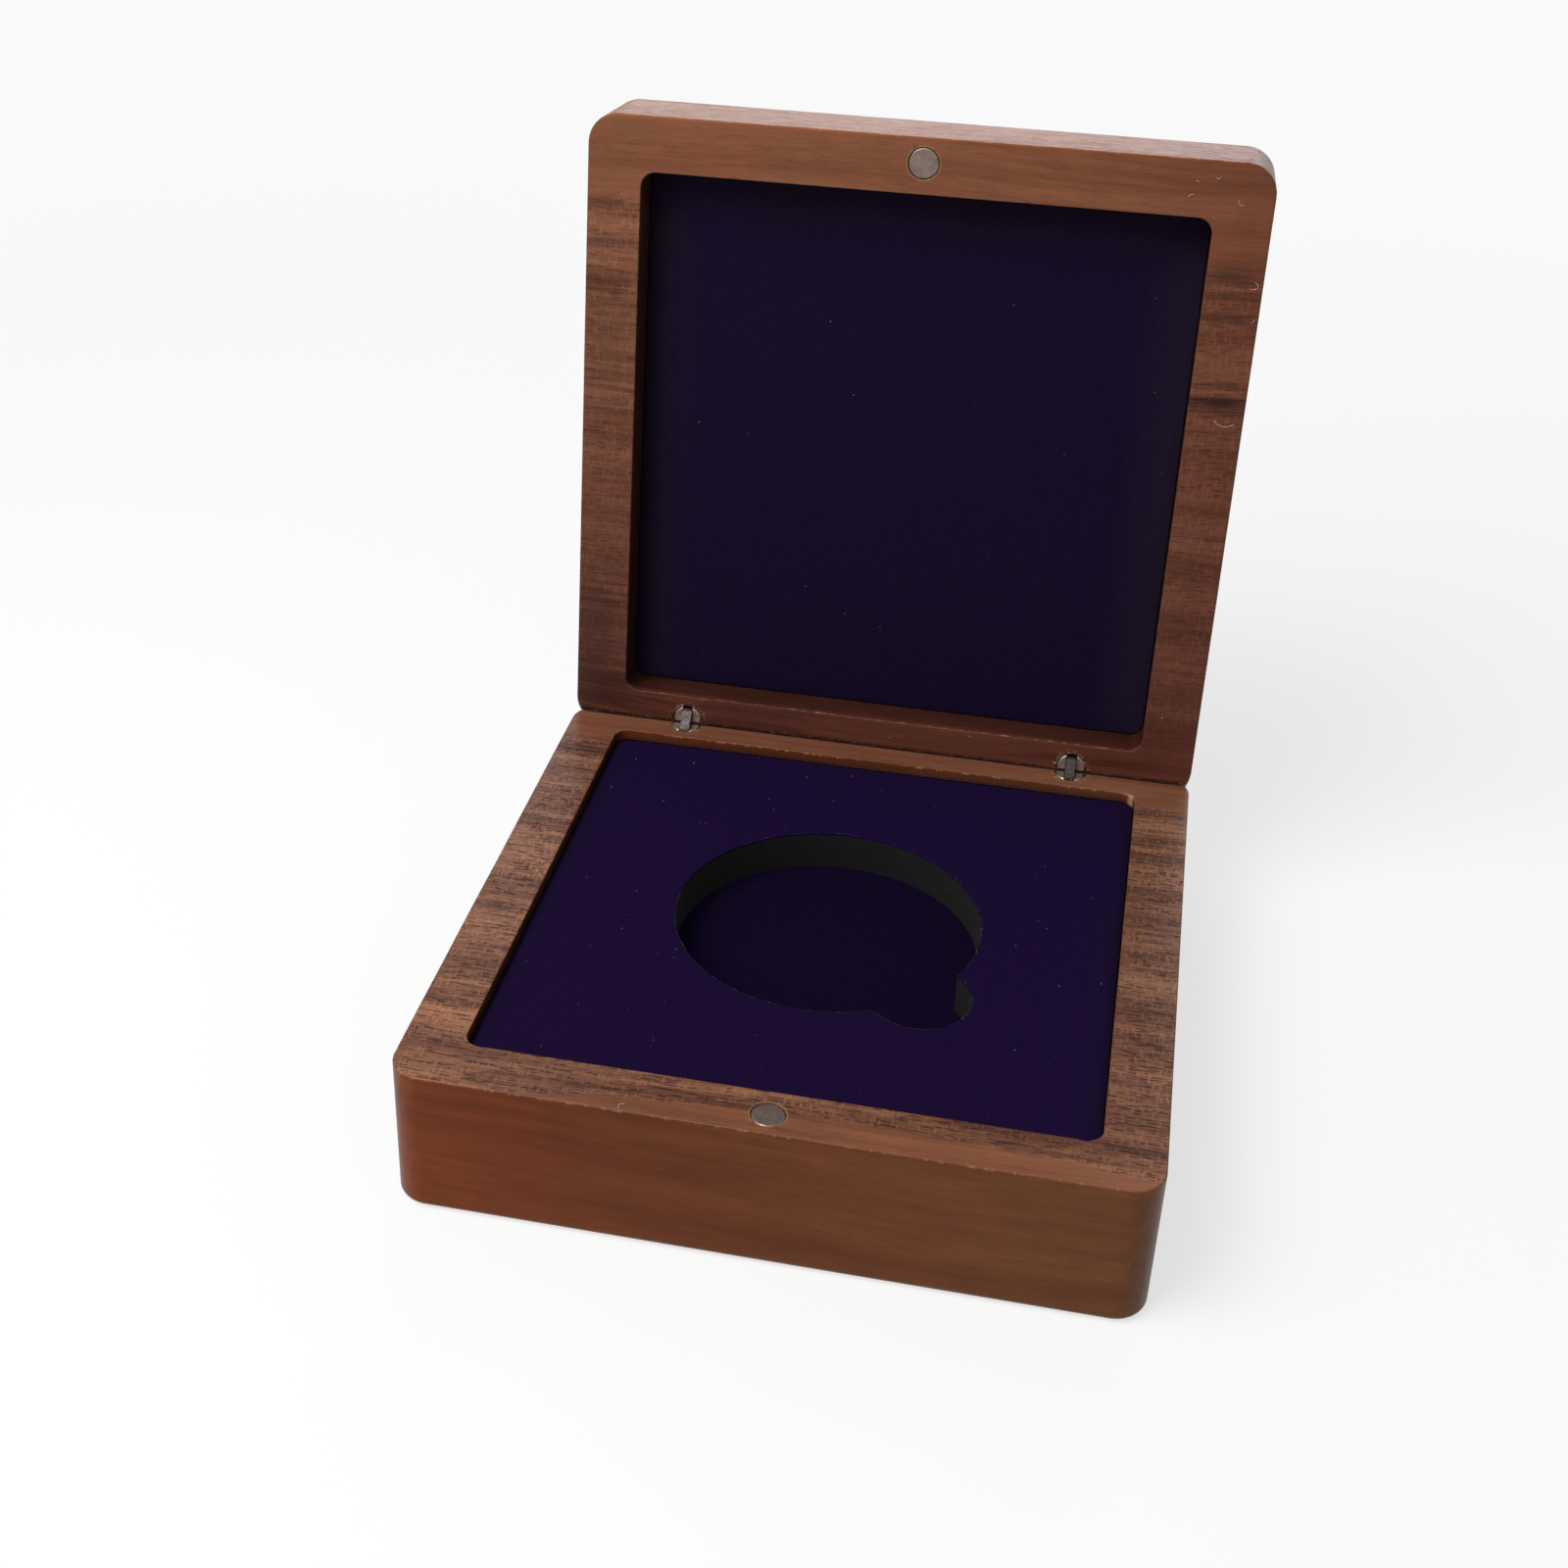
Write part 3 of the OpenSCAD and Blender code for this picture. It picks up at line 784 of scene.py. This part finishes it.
def lining(name, low, high, recessed, edge, wave, wave_size, wall_grain=0.0):
    """A sheet of lining with softened edges and an uneven face, pierced by the coin recess if recessed."""
    s = sizes()
    angles = bearings(notch_bearings()) if recessed else bearings()

    def outer(inset):
        width = LINING_WIDTH - 2 * inset
        return rounded_square(width, width, s.pocket_corner - s.lining_gap - inset, angles)

    def inner(inset):
        return recess_outline(angles, -inset) if recessed else outer(edge) * 0.02

    steps = quarter_steps(5)
    top = [(1 - math.sin(a), math.cos(a)) for a in steps[::-1]]
    rings = []
    if recessed:
        for z in np.linspace(low, high - edge, 7)[:-1]:
            rings.append(at_height(inner(0), z))
        rings += [
            at_height(inner(edge * (1 - math.cos(a))), high - edge * (1 - math.sin(a)))
            for a in steps
        ]
    else:
        rings.append(at_height(inner(0), high))
    start, end = inner(edge), outer(edge)
    for share in np.linspace(0, 1, 36)[1:-1]:
        rings.append(at_height(start + (end - start) * share, high))
    rings += [at_height(outer(edge * drop), high - edge * (1 - side)) for drop, side in top]
    rings.append(at_height(outer(0), low))
    if not recessed:
        rings.append(at_height(outer(edge), low))
    sheet = skin(name, rings, closed=recessed)
    for vertex in sheet.data.vertices:
        x, y, z = vertex.co
        if z > high - 1.2 * edge:
            lift = wave * (noise.noise(Vector((x, y, 1.7)) / wave_size) - 0.6)
            vertex.co.z += 0.6 * lift + 0.4 * wave * (noise.noise(Vector((x, y, 5.1)) / (0.7 * MM)) - 0.6)
        if wall_grain and math.hypot(x, y) < s.recess:
            vertex.co += Vector((x, y, 0)).normalized() * wall_grain * noise.noise(vertex.co / (0.6 * MM))
    sheet.data.shade_smooth()
    sheet.data.set_sharp_from_angle(angle=math.radians(50))
    return sheet


def scatter_tree(name, count_name, draw):
    """A geometry tree that stands copies of a small shape on places, both as draw gives them."""
    tree = bpy.data.node_groups.new(name, "GeometryNodeTree")
    tree.is_modifier = True
    for label, kind in (("Geometry", "NodeSocketGeometry"), (count_name, "NodeSocketFloat"),
                        ("Size", "NodeSocketFloat"), ("Seed", "NodeSocketInt"),
                        ("Material", "NodeSocketMaterial")):
        tree.interface.new_socket(label, in_out="INPUT", socket_type=kind)
    tree.interface.new_socket("Geometry", in_out="OUTPUT", socket_type="NodeSocketGeometry")
    g = Graph(tree)
    given = g("NodeGroupInput", out=None).outputs
    spots, shape, turn, scale = draw(g, given)
    copies = g("GeometryNodeInstanceOnPoints", Points=spots, Instance=shape, Rotation=turn, Scale=scale)
    real = g("GeometryNodeRealizeInstances", copies)
    coated = g("GeometryNodeSetMaterial", Geometry=real, Material=given["Material"])
    g("NodeGroupOutput", coated)
    return tree


def loose_fibres(g, given):
    """Loose fibres of pile along an edge, leaning over the recess."""
    line = g("GeometryNodeMeshToCurve", Mesh=given["Geometry"])
    spaced = g("GeometryNodeResampleCurve", Curve=line, Length=given["Spacing"], mode="LENGTH")
    fibre = g("GeometryNodeMeshCone", Vertices=3, Side_Segments=1, Radius_Top=0.0, Radius_Bottom=0.06,
              Depth=1.0, out="Mesh", fill_type="NONE")
    where = g("GeometryNodeInputPosition")
    inward = g("VectorMath:MULTIPLY", where, (-1.0, -1.0, 0.0))
    inward = g("VectorMath:NORMALIZE", inward)
    stray = g("FunctionNodeRandomValue", (-1.1, -1.1, 0.0), (1.1, 1.1, 0.9), Seed=given["Seed"],
              data_type="FLOAT_VECTOR")
    lean = g("VectorMath:ADD", inward, stray)
    turn = g("FunctionNodeAlignRotationToVector", Vector=lean, axis="Z")
    length = g("FunctionNodeRandomValue", {2: 0.2, 3: 1.0}, Seed=given["Seed"], out=1, data_type="FLOAT")
    length = g("Math:MULTIPLY", length, given["Size"])
    return spaced, fibre, turn, length


def lint_specks(g, given):
    """Specks of lint, scattered over a surface."""
    spots = g("GeometryNodeDistributePointsOnFaces", Mesh=given["Geometry"], Density=given["Density"],
              Seed=given["Seed"])
    speck = g("GeometryNodeMeshIcoSphere", Radius=0.5, Subdivisions=1)
    turn = g("FunctionNodeRandomValue", (0.0, 0.0, 0.0), (6.28, 6.28, 6.28), Seed=given["Seed"],
             data_type="FLOAT_VECTOR")
    size = g("FunctionNodeRandomValue", {2: 0.0, 3: 1.0}, Seed=given["Seed"], out=1, data_type="FLOAT")
    size = g("Math:POWER", size, 2.5)
    size = g("Math:MULTIPLY_ADD", size, 0.75, 0.25)
    size = g("Math:MULTIPLY", size, given["Size"])
    shape = g("CombineXYZ", size, size, size)
    shape = g("VectorMath:MULTIPLY", shape, (1.6, 0.6, 0.5))
    return spots, speck, turn, shape


def grown(piece, tree, **values):
    """Runs a geometry tree on a piece, with its inputs set by name, and keeps the result as plain mesh."""
    modifier = piece.modifiers.new("grown", "NODES")
    modifier.node_group = tree
    sockets = {item.name: item.identifier for item in tree.interface.items_tree if item.in_out == "INPUT"}
    for label, value in values.items():
        modifier[sockets[label]] = value
    return evaluated(piece)


def fringed(name, lines, closed=False, **values):
    """Loose fibres along lines of points, with the inputs of their tree set by name."""
    edge = bmesh.new()
    for points in lines:
        verts = [edge.verts.new(p) for p in points]
        following = verts[1:] + verts[:1] if closed else verts[1:]
        for pair in zip(verts, following):
            edge.edges.new(pair)
    return grown(linked(name, edge), scatter_tree("loose_pile", "Spacing", loose_fibres), **values)


def thread(name, points, radius):
    """A thin bent fibre that follows the given points, in millimetres."""
    curve = bpy.data.curves.new(name, "CURVE")
    curve.dimensions = "3D"
    curve.bevel_depth = radius
    curve.bevel_resolution = 1
    curve.use_fill_caps = True
    line = curve.splines.new("NURBS")
    line.points.add(len(points) - 1)
    for point, (x, y, z) in zip(line.points, points):
        point.co = (x * MM, y * MM, z * MM, 1)
    line.use_endpoint_u = True
    line.order_u = 4
    holder = bpy.data.objects.new(name, curve)
    mesh = bpy.data.meshes.new_from_object(holder)
    mesh.name = name
    removed(holder)
    piece = bpy.data.objects.new(name, mesh)
    bpy.context.scene.collection.objects.link(piece)
    return piece


# Dark streaks and patches in the two halves: x, y, length and width in millimetres, and strength.
BASE_MARKS = (
    (-51.0, 37.6, 16.0, 3.0, 0.6), (-51.0, 28.0, 22.0, 10.0, 0.28), (-51.0, -12.5, 14.0, 3.0, 0.5),
    (-48.0, -25.6, 18.0, 4.0, 0.3), (51.0, 33.0, 14.0, 4.0, 0.35), (51.0, 8.0, 16.0, 5.0, 0.35),
    (-30.0, -48.6, 50.0, 6.0, 0.32), (24.0, -48.4, 70.0, 5.0, 0.4), (-24.0, -53.6, 60.0, 5.0, 0.2),
)
LID_MARKS = (
    (-50.8, -16.7, 14.0, 3.2, 1.0), (-50.5, -19.8, 12.0, 1.6, 0.6), (-49.8, -37.2, 10.0, 3.0, 0.6),
    (-50.3, -34.0, 12.0, 1.6, 0.5), (-49.4, -30.6, 12.0, 2.0, 0.6), (51.8, -40.6, 9.0, 2.6, 0.5),
    (50.5, -34.3, 10.0, 1.8, 0.5), (52.2, -27.1, 10.0, 2.4, 0.5), (52.3, 37.0, 12.0, 24.0, 0.5),
    (50.0, 47.5, 18.0, 8.0, 0.6), (51.0, -18.0, 14.0, 26.0, 0.35), (23.0, 49.6, 26.0, 8.0, 0.45),
    (-38.0, 49.0, 30.0, 3.0, 0.3),
)


class COIN_CASE_OT_walnut(bpy.types.Operator):
    """Make both walnut halves of the case"""

    bl_idname = "coin_case.walnut"
    bl_label = "Walnut halves"

    def execute(self, context):
        base_wood = walnut(
            "walnut_oiled_base", BASE, seed=1.0, front=(-50.5, 0.053, -0.0019), rear=42.5, soft=0.5,
            openness=1.0, kinship=0.0, oil_and_shade_share=1.0, painted_rear_shade=(0.97, 1.04, 1.2), painted_side_light_and_shade=(1.12, 1.08, 1.06),
            front_tint=(1.0, 1.0, 1.0), painted_wall_shade=0.31, worn_spot=(45.4, 45.3, -1.2), marks=BASE_MARKS)
        lid_wood = walnut(
            "walnut_oiled_lid", LID, seed=2.0, front=(-40.2, -0.034, 0.0), rear=44.0, soft=2.0,
            openness=0.55, kinship=0.7, oil_and_shade_share=0.3, painted_rear_shade=(0.57, 0.50, 0.66),
            painted_side_light_and_shade=(0.84, 0.76, 0.78), front_tint=(1.1, 0.80, 0.50), painted_wall_shade=0.46, worn_spot=None,
            marks=LID_MARKS)
        walnut_half("walnut_base", BASE, base_low, "base", "base_case", base_wood, 1.0, math.radians(45))
        walnut_half("walnut_lid", LID, lid_low, "lid", "lid_case", lid_wood, 2.0, None)
        fibre = cotton("walnut_torn_fibres", colours().walnut_worn)
        for body, place, seed in (("base", BASE, 4), ("lid", LID, 3)):
            self.torn_fibres(body, place, seed, fibre)
        return {"FINISHED"}

    def torn_fibres(self, body, place, seed, fibre):
        """Fibres that the drill tore up along the front of the hinge bores."""
        reach = (barrel_high.x - barrel_low.x) / 2 + 0.15 * MM
        rearmost = CASE_DEPTH / 2 - sizes().bevel - 0.5 * MM
        lines = []
        for side in (-1, 1):
            points = [(side * HINGE.x + reach * math.cos(a), HINGE.y + reach * math.sin(a), 0)
                      for a in np.radians(np.arange(-200, 21, 10))]
            lines.append([p for p in points if p[1] < rearmost])
        fibres = fringed(f"torn_fibres_{body}", lines, Spacing=0.36 * MM, Size=1.1 * MM, Seed=seed,
                         Material=fibre)
        pressed(placed(fibres, place, body, fibre))


class COIN_CASE_OT_linings(bpy.types.Operator):
    """Make the foam and velvet linings of both halves"""

    bl_idname = "coin_case.linings"
    bl_label = "Linings"

    def execute(self, context):
        s = sizes()
        # Along the front and the sides each pile is painted lighter and greyer: painted light.
        pile = velvet("velvet_flocked_pile", BASE, (1.0, 1.0, 1.0), (1.0, 1.4, 0.72), 4.0)
        # The pile of the recess floor is darker: painted shade.
        shade = (0.5, 0.6, 0.5)
        shaded_pile = velvet("velvet_flocked_pile_in_the_recess", BASE, shade, shade, 1.0)
        lid_pile = velvet("velvet_flocked_pile_of_the_lid", LID, (0.97, 1.75, 0.78), (1.9, 4.0, 0.85), 10.0)
        sponge = foam()
        hair = 0.02 * MM
        soft = {"edge": s.pile_edge, "wave": s.pile_wave, "wave_size": 7 * MM}
        hard = {"edge": 0.1 * MM, "wave": 0.0, "wave_size": 5 * MM}

        def layer(name, node, material, low, high, recessed=False, look=soft):
            place = LID if name.startswith("lid") else BASE
            body = "base" if place is BASE else "lid"
            return placed(lining(name, low, high, recessed, **look), place, body, material, (node,))

        insert = layer("insert_foam", "coin_insert_foam", sponge, floor_high.z + hair, insert_low.z - hair,
                       True, {**hard, "wall_grain": s.foam_grain})
        insert_face = layer("insert_velvet", "coin_insert_velvet", pile, insert_low.z, insert_high.z, True)
        floor_pad = layer("floor_foam", "base_floor_foam", sponge, foam_low.z + hair, floor_low.z - hair,
                          look=hard)
        floor_face = layer("floor_velvet", "base_floor_velvet", shaded_pile, floor_low.z, floor_high.z)
        lid_pad = layer("lid_pad_foam", "lid_foam", sponge, lid_foam_low.z + hair, lid_velvet_low.z - hair,
                        look=hard)
        lid_face = layer("lid_pad_velvet", "lid_velvet", lid_pile, lid_velvet_low.z, lid_velvet_high.z)
        hole = flat_area(recess_outline(bearings(notch_bearings()), 0.0))
        fringe = self.fringe(s)
        return {"FINISHED"}

    def fringe(self, s):
        """Loose pile along the edge of the recess."""
        outline = recess_outline(bearings(notch_bearings()), -0.6 * s.pile_edge)
        line = at_height(outline, insert_high.z - 0.4 * s.pile_edge)
        frayed = frayed_pile()
        fringe = fringed("loose_pile", [line], closed=True, Spacing=s.fringe_spacing, Size=s.fringe_length,
                         Seed=4, Material=frayed)
        return placed(fringe, BASE, "base", frayed)


class COIN_CASE_OT_magnets(bpy.types.Operator):
    """Make both disc magnets"""

    bl_idname = "coin_case.magnets"
    bl_label = "Magnets"

    def execute(self, context):
        s = sizes()
        plate = worn_metal("nickel_plate_scratched", colours().nickel, 0.30, 0.3, 1.2)
        radius = (magnet_high.x - magnet_low.x) / 2
        edge = s.magnet_edge
        profile = [(radius - edge * (1 - math.sin(a)), magnet_low.z + edge * (1 - math.cos(a)))
                   for a in quarter_steps(6)]
        profile += [(radius - edge * (1 - math.cos(a)), magnet_high.z - edge * (1 - math.sin(a)))
                    for a in quarter_steps(6)]
        profile.append((radius - 1.5 * edge, magnet_high.z - 0.01 * MM))
        for body, place in (("base", BASE), ("lid", LID)):
            disc = lathe(f"magnet_disc_{body}", profile, MAGNET, segments=96)
            smoothed(disc, 30)
            placed(disc, place, body, plate, (f"{body}_magnet",))
        return {"FINISHED"}


class COIN_CASE_OT_hinges(bpy.types.Operator):
    """Ease the edges of the hinge barrels, links and pins and give them their metal"""

    bl_idname = "coin_case.hinges"
    bl_label = "Hinges"

    def execute(self, context):
        s = sizes()
        dull = worn_metal("zinc_plated_steel_barrel", colours().steel, 0.40, 0.35, 0.9)
        rubbed = worn_metal("steel_link_rubbed", colours().link_steel, 0.50, 0.25, 0.6)
        link_in_painted_shade = worn_metal("steel_link_in_painted_shade", colours().link_steel_in_shade, 0.50, 0.25, 0.6)
        for name, cad in frame["nodes"].items():
            kind = name.split("_")[-1]
            if kind not in ("barrel", "link", "pin"):
                continue
            mesh = bmesh.new()
            mesh.from_mesh(cad.data)
            if kind == "link":
                self.fill_slot(mesh)
            bmesh.ops.remove_doubles(mesh, verts=mesh.verts, dist=0.002 * MM)
            bmesh.ops.dissolve_limit(mesh, angle_limit=math.radians(0.5), verts=mesh.verts,
                                     edges=mesh.edges)
            piece = linked(f"{name}_eased", mesh)
            bevel = piece.modifiers.new("eased", "BEVEL")
            bevel.width = s.metal_edge
            bevel.segments = 2
            bevel.limit_method = "ANGLE"
            bevel.angle_limit = math.radians(35)
            bevel.use_clamp_overlap = True
            evaluated(piece)
            smoothed(piece, 35)
            metal = dull
            # The right link gets the darker steel: painted shade.
            if kind == "link":
                metal = rubbed if name.startswith("left") else link_in_painted_shade
            placed(piece, Matrix.Identity(4), cad["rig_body"], metal, (name,))
        return {"FINISHED"}

    def fill_slot(self, link):
        """Widens a link on its front side, so that it nearly fills its slots."""
        upright = turned_about(base_pin, -math.radians(link_joint["range_deg"][1]))
        link.transform(upright.inverted())
        half_width = max(base_pin.y - vertex.co.y for vertex in link.verts)
        for vertex in link.verts:
            front = base_pin.y - vertex.co.y
            if front > 0.5 * half_width:
                vertex.co.y = base_pin.y - front * 1.34
        link.transform(upright)


# A stray fibre bends like this, as shares of its length and its sag, and millimetres above the wood.
HOOK = ((-0.5, -0.4, 0.05), (-0.25, 0.5, 0.25), (0.2, 0.6, 0.25), (0.5, -0.6, 0.05))
# Stray fibres on the rims: their place, length and sag in millimetres, and their turn in degrees.
CURLS = (
    ("hair_lid", LID, "lid", -52.0, -13.4, 3.2, 0.9, 0),
    ("curl_lid_side", LID, "lid", -53.9, -36.1, 1.3, 1.1, 80),
    ("curl_lid_low", LID, "lid", -54.2, -30.6, 0.7, 0.3, 60),
    ("curl_lid_a", LID, "lid", -42.0, -49.4, 1.0, -0.4, 25),
    ("curl_lid_b", LID, "lid", -45.9, -52.3, 0.7, 0.2, 20),
    ("curl_lid_c", LID, "lid", -49.6, -48.7, 0.9, -0.5, 130),
    ("curl_lid_d", LID, "lid", -42.8, -51.6, 0.6, 0.3, 160),
    ("curl_base", BASE, "base", -20.5, -54.0, 1.3, 0.5, 70),
)


class COIN_CASE_OT_lint(bpy.types.Operator):
    """Scatter sparse lint over the velvet and the rims"""

    bl_idname = "coin_case.lint"
    bl_label = "Lint"

    def execute(self, context):
        s = sizes()
        dust = cotton("cotton_lint", colours().lint)
        tree = scatter_tree("lint", "Density", lint_specks)
        density = s.lint_per_velvet / LINING_WIDTH ** 2
        angles = bearings()
        for name, place, body, height, share, rim, seed in (
                ("lint_base_velvet", BASE, "base", insert_high.z, 1.0, False, 16),
                ("lint_lid_velvet", LID, "lid", lid_velvet_high.z, 0.4, False, 15),
                ("lint_base_rim", BASE, "base", 0.0, 1.0, True, 13),
                ("lint_lid_rim", LID, "lid", 0.0, 1.6, True, 12)):
            if rim:
                inside = rounded_square(LINING_WIDTH + MM, LINING_WIDTH + MM, s.pocket_corner, angles)
                outside = rounded_square(CASE_WIDTH - MM, CASE_DEPTH - 10 * MM, s.corner, angles)
            else:
                outside = rounded_square(LINING_WIDTH - MM, LINING_WIDTH - MM, s.pocket_corner, angles)
                inside = recess_outline(angles, -s.pile_edge) if body == "base" else outside * 0.02
            field = skin(name, [at_height(inside, height), at_height(outside, height)], caps=(False, False))
            grown(field, tree, Density=density * share, Size=s.lint_size, Seed=seed, Material=dust)
            placed(field, place, body, dust)
            if rim:
                pressed(field)
        for name, place, body, x, y, length, sag, turn in CURLS:
            turned = Matrix.Rotation(math.radians(turn), 3, "Z")
            points = [turned @ Vector((length * u, sag * v, w)) + Vector((x, y, 0)) for u, v, w in HOOK]
            pressed(placed(thread(name, points, s.thread), place, body, dust))
        return {"FINISHED"}


class COIN_CASE_OT_stage(bpy.types.Operator):
    """Make the floor, the lamps, the room light and the camera"""

    bl_idname = "coin_case.stage"
    bl_label = "Stage"

    def execute(self, context):
        studio = context.scene.case_studio
        self.floor()
        self.room(context, studio.room_light)
        middle = Vector((0, 0, 0.05))
        for name, place, size, power in (
                ("key_softbox", (-0.30, -0.30, 0.62), 0.45, studio.key_power),
                ("front_softbox", (-0.35, -0.75, 0.35), 0.7, studio.front_power),
                ("rear_softbox", (0.0, 0.62, 0.36), 0.5, studio.rear_power)):
            lamp = bpy.data.lights.new(name, "AREA")
            lamp.shape = "SQUARE"
            lamp.size = size
            lamp.energy = power
            holder = bpy.data.objects.new(name, lamp)
            holder.location = place
            holder.visible_camera = False
            holder.rotation_euler = (middle - Vector(place)).to_track_quat("-Z", "Y").to_euler()
            context.scene.collection.objects.link(holder)
        self.camera(context, studio)
        context.scene.view_settings.view_transform = "Standard"
        return {"FINISHED"}

    def floor(self):
        """A pale matt table top that the lens sees as nearly white, and that keeps the case's shadow."""
        plate = bmesh.new()
        bmesh.ops.create_grid(plate, x_segments=1, y_segments=1, size=3.0)
        bmesh.ops.translate(plate, verts=plate.verts, vec=(0, 0, -0.1 * MM))
        floor = linked("studio_floor", plate)
        material, g = new_material("matt_paper_floor")
        here = g("TexCoord", out="Object")
        tooth = g("TexNoise", Vector=here, Scale=900.0, Detail=2.0)
        bump = g("Bump", Strength=0.1, Distance=0.05 * MM, Height=tooth)
        paper = g("BsdfPrincipled", Base_Color=colours().floor, Roughness=0.9, Normal=bump,
                  Specular_IOR_Level=0.1)
        glow = g("Emission", Color=(1.0, 1.0, 1.0, 1.0), Strength=0.68)
        dim = g("BsdfDiffuse", Color=(0.26, 0.26, 0.26, 1.0))
        both = g("AddShader", dim, glow)
        away = g("VectorMath:LENGTH", here, out="Value")
        sweep = g("MapRange", away, 0.15, 0.55, interpolation_type="SMOOTHSTEP")
        bright = g("Emission", Color=(1.0, 1.0, 1.0, 1.0), Strength=0.95)
        both = g("MixShader", sweep, both, bright)
        path = g("LightPath", out=None)
        seen = g("Math:MAXIMUM", path.outputs["Is Camera Ray"], path.outputs["Is Glossy Ray"])
        shader = g("MixShader", seen, paper, both)
        g("OutputMaterial", Surface=shader)
        floor.data.materials.append(material)

    def room(self, context, strength):
        """Even light from all round, with a white room for the lens and for reflections."""
        world = bpy.data.worlds.new("white_room")
        context.scene.world = world
        world.use_nodes = True
        g = Graph(world.node_tree)
        path = g("LightPath", out=None)
        seen = g("Math:MAXIMUM", path.outputs["Is Camera Ray"], path.outputs["Is Glossy Ray"])
        seen = g("Math:MAXIMUM", seen, path.outputs["Is Transmission Ray"])
        dim = g("Background", Color=(1.0, 1.0, 1.0, 1.0), Strength=strength)
        white = g("Background", Color=(1.0, 1.0, 1.0, 1.0), Strength=1.0)
        both = g("MixShader", seen, dim, white)
        g("OutputWorld", Surface=both)

    def camera(self, context, studio):
        """The camera at the place from which the case is seen, worked out from its edges."""
        slope, bearing = studio.elevation, studio.azimuth
        ahead = Vector((math.sin(bearing) * math.cos(slope), math.cos(bearing) * math.cos(slope),
                        math.sin(slope)))
        right = ahead.cross(UP).normalized()
        above = right.cross(ahead)
        turned_right = right * math.cos(studio.roll) + above * math.sin(studio.roll)
        turned_up = above * math.cos(studio.roll) - right * math.sin(studio.roll)
        facing = Matrix((turned_right, turned_up, -ahead)).transposed()
        lens = bpy.data.cameras.new("camera")
        lens.sensor_width = 36.0
        lens.lens = studio.focal_length
        lens.shift_x, lens.shift_y = studio.shift
        lens.clip_start = 0.01
        holder = bpy.data.objects.new("camera", lens)
        holder.matrix_world = Matrix.Translation(studio.camera_place) @ facing.to_4x4()
        context.scene.collection.objects.link(holder)
        context.scene.camera = holder


OPERATORS = (
    COIN_CASE_OT_walnut,
    COIN_CASE_OT_linings,
    COIN_CASE_OT_magnets,
    COIN_CASE_OT_hinges,
    COIN_CASE_OT_lint,
    COIN_CASE_OT_stage,
)


class COIN_CASE_PT_panel(bpy.types.Panel):
    """Sizes, colours and steps of the coin display case"""

    bl_label = "Coin display case"
    bl_idname = "COIN_CASE_PT_panel"
    bl_space_type = "VIEW_3D"
    bl_region_type = "UI"
    bl_category = "Coin case"

    def draw(self, context):
        scene = context.scene
        for group in (scene.case_sizes, scene.case_colours, scene.case_studio):
            box = self.layout.box()
            for name in group.__annotations__:
                box.prop(group, name)
        for operator in OPERATORS:
            self.layout.operator(operator.bl_idname)


GROUPS = {"case_sizes": CaseSizes, "case_colours": CaseColours, "case_studio": Studio}
CLASSES = (*GROUPS.values(), *OPERATORS, COIN_CASE_PT_panel)


def register():
    for cls in CLASSES:
        bpy.utils.register_class(cls)
    for name, group in GROUPS.items():
        setattr(bpy.types.Scene, name, PointerProperty(type=group))


def unregister():
    for name in GROUPS:
        delattr(bpy.types.Scene, name)
    for cls in reversed(CLASSES):
        bpy.utils.unregister_class(cls)


def main():
    register()
    for operator in OPERATORS:
        group, name = operator.bl_idname.split(".")
        getattr(getattr(bpy.ops, group), name)()


if __name__ == "__main__":
    main()
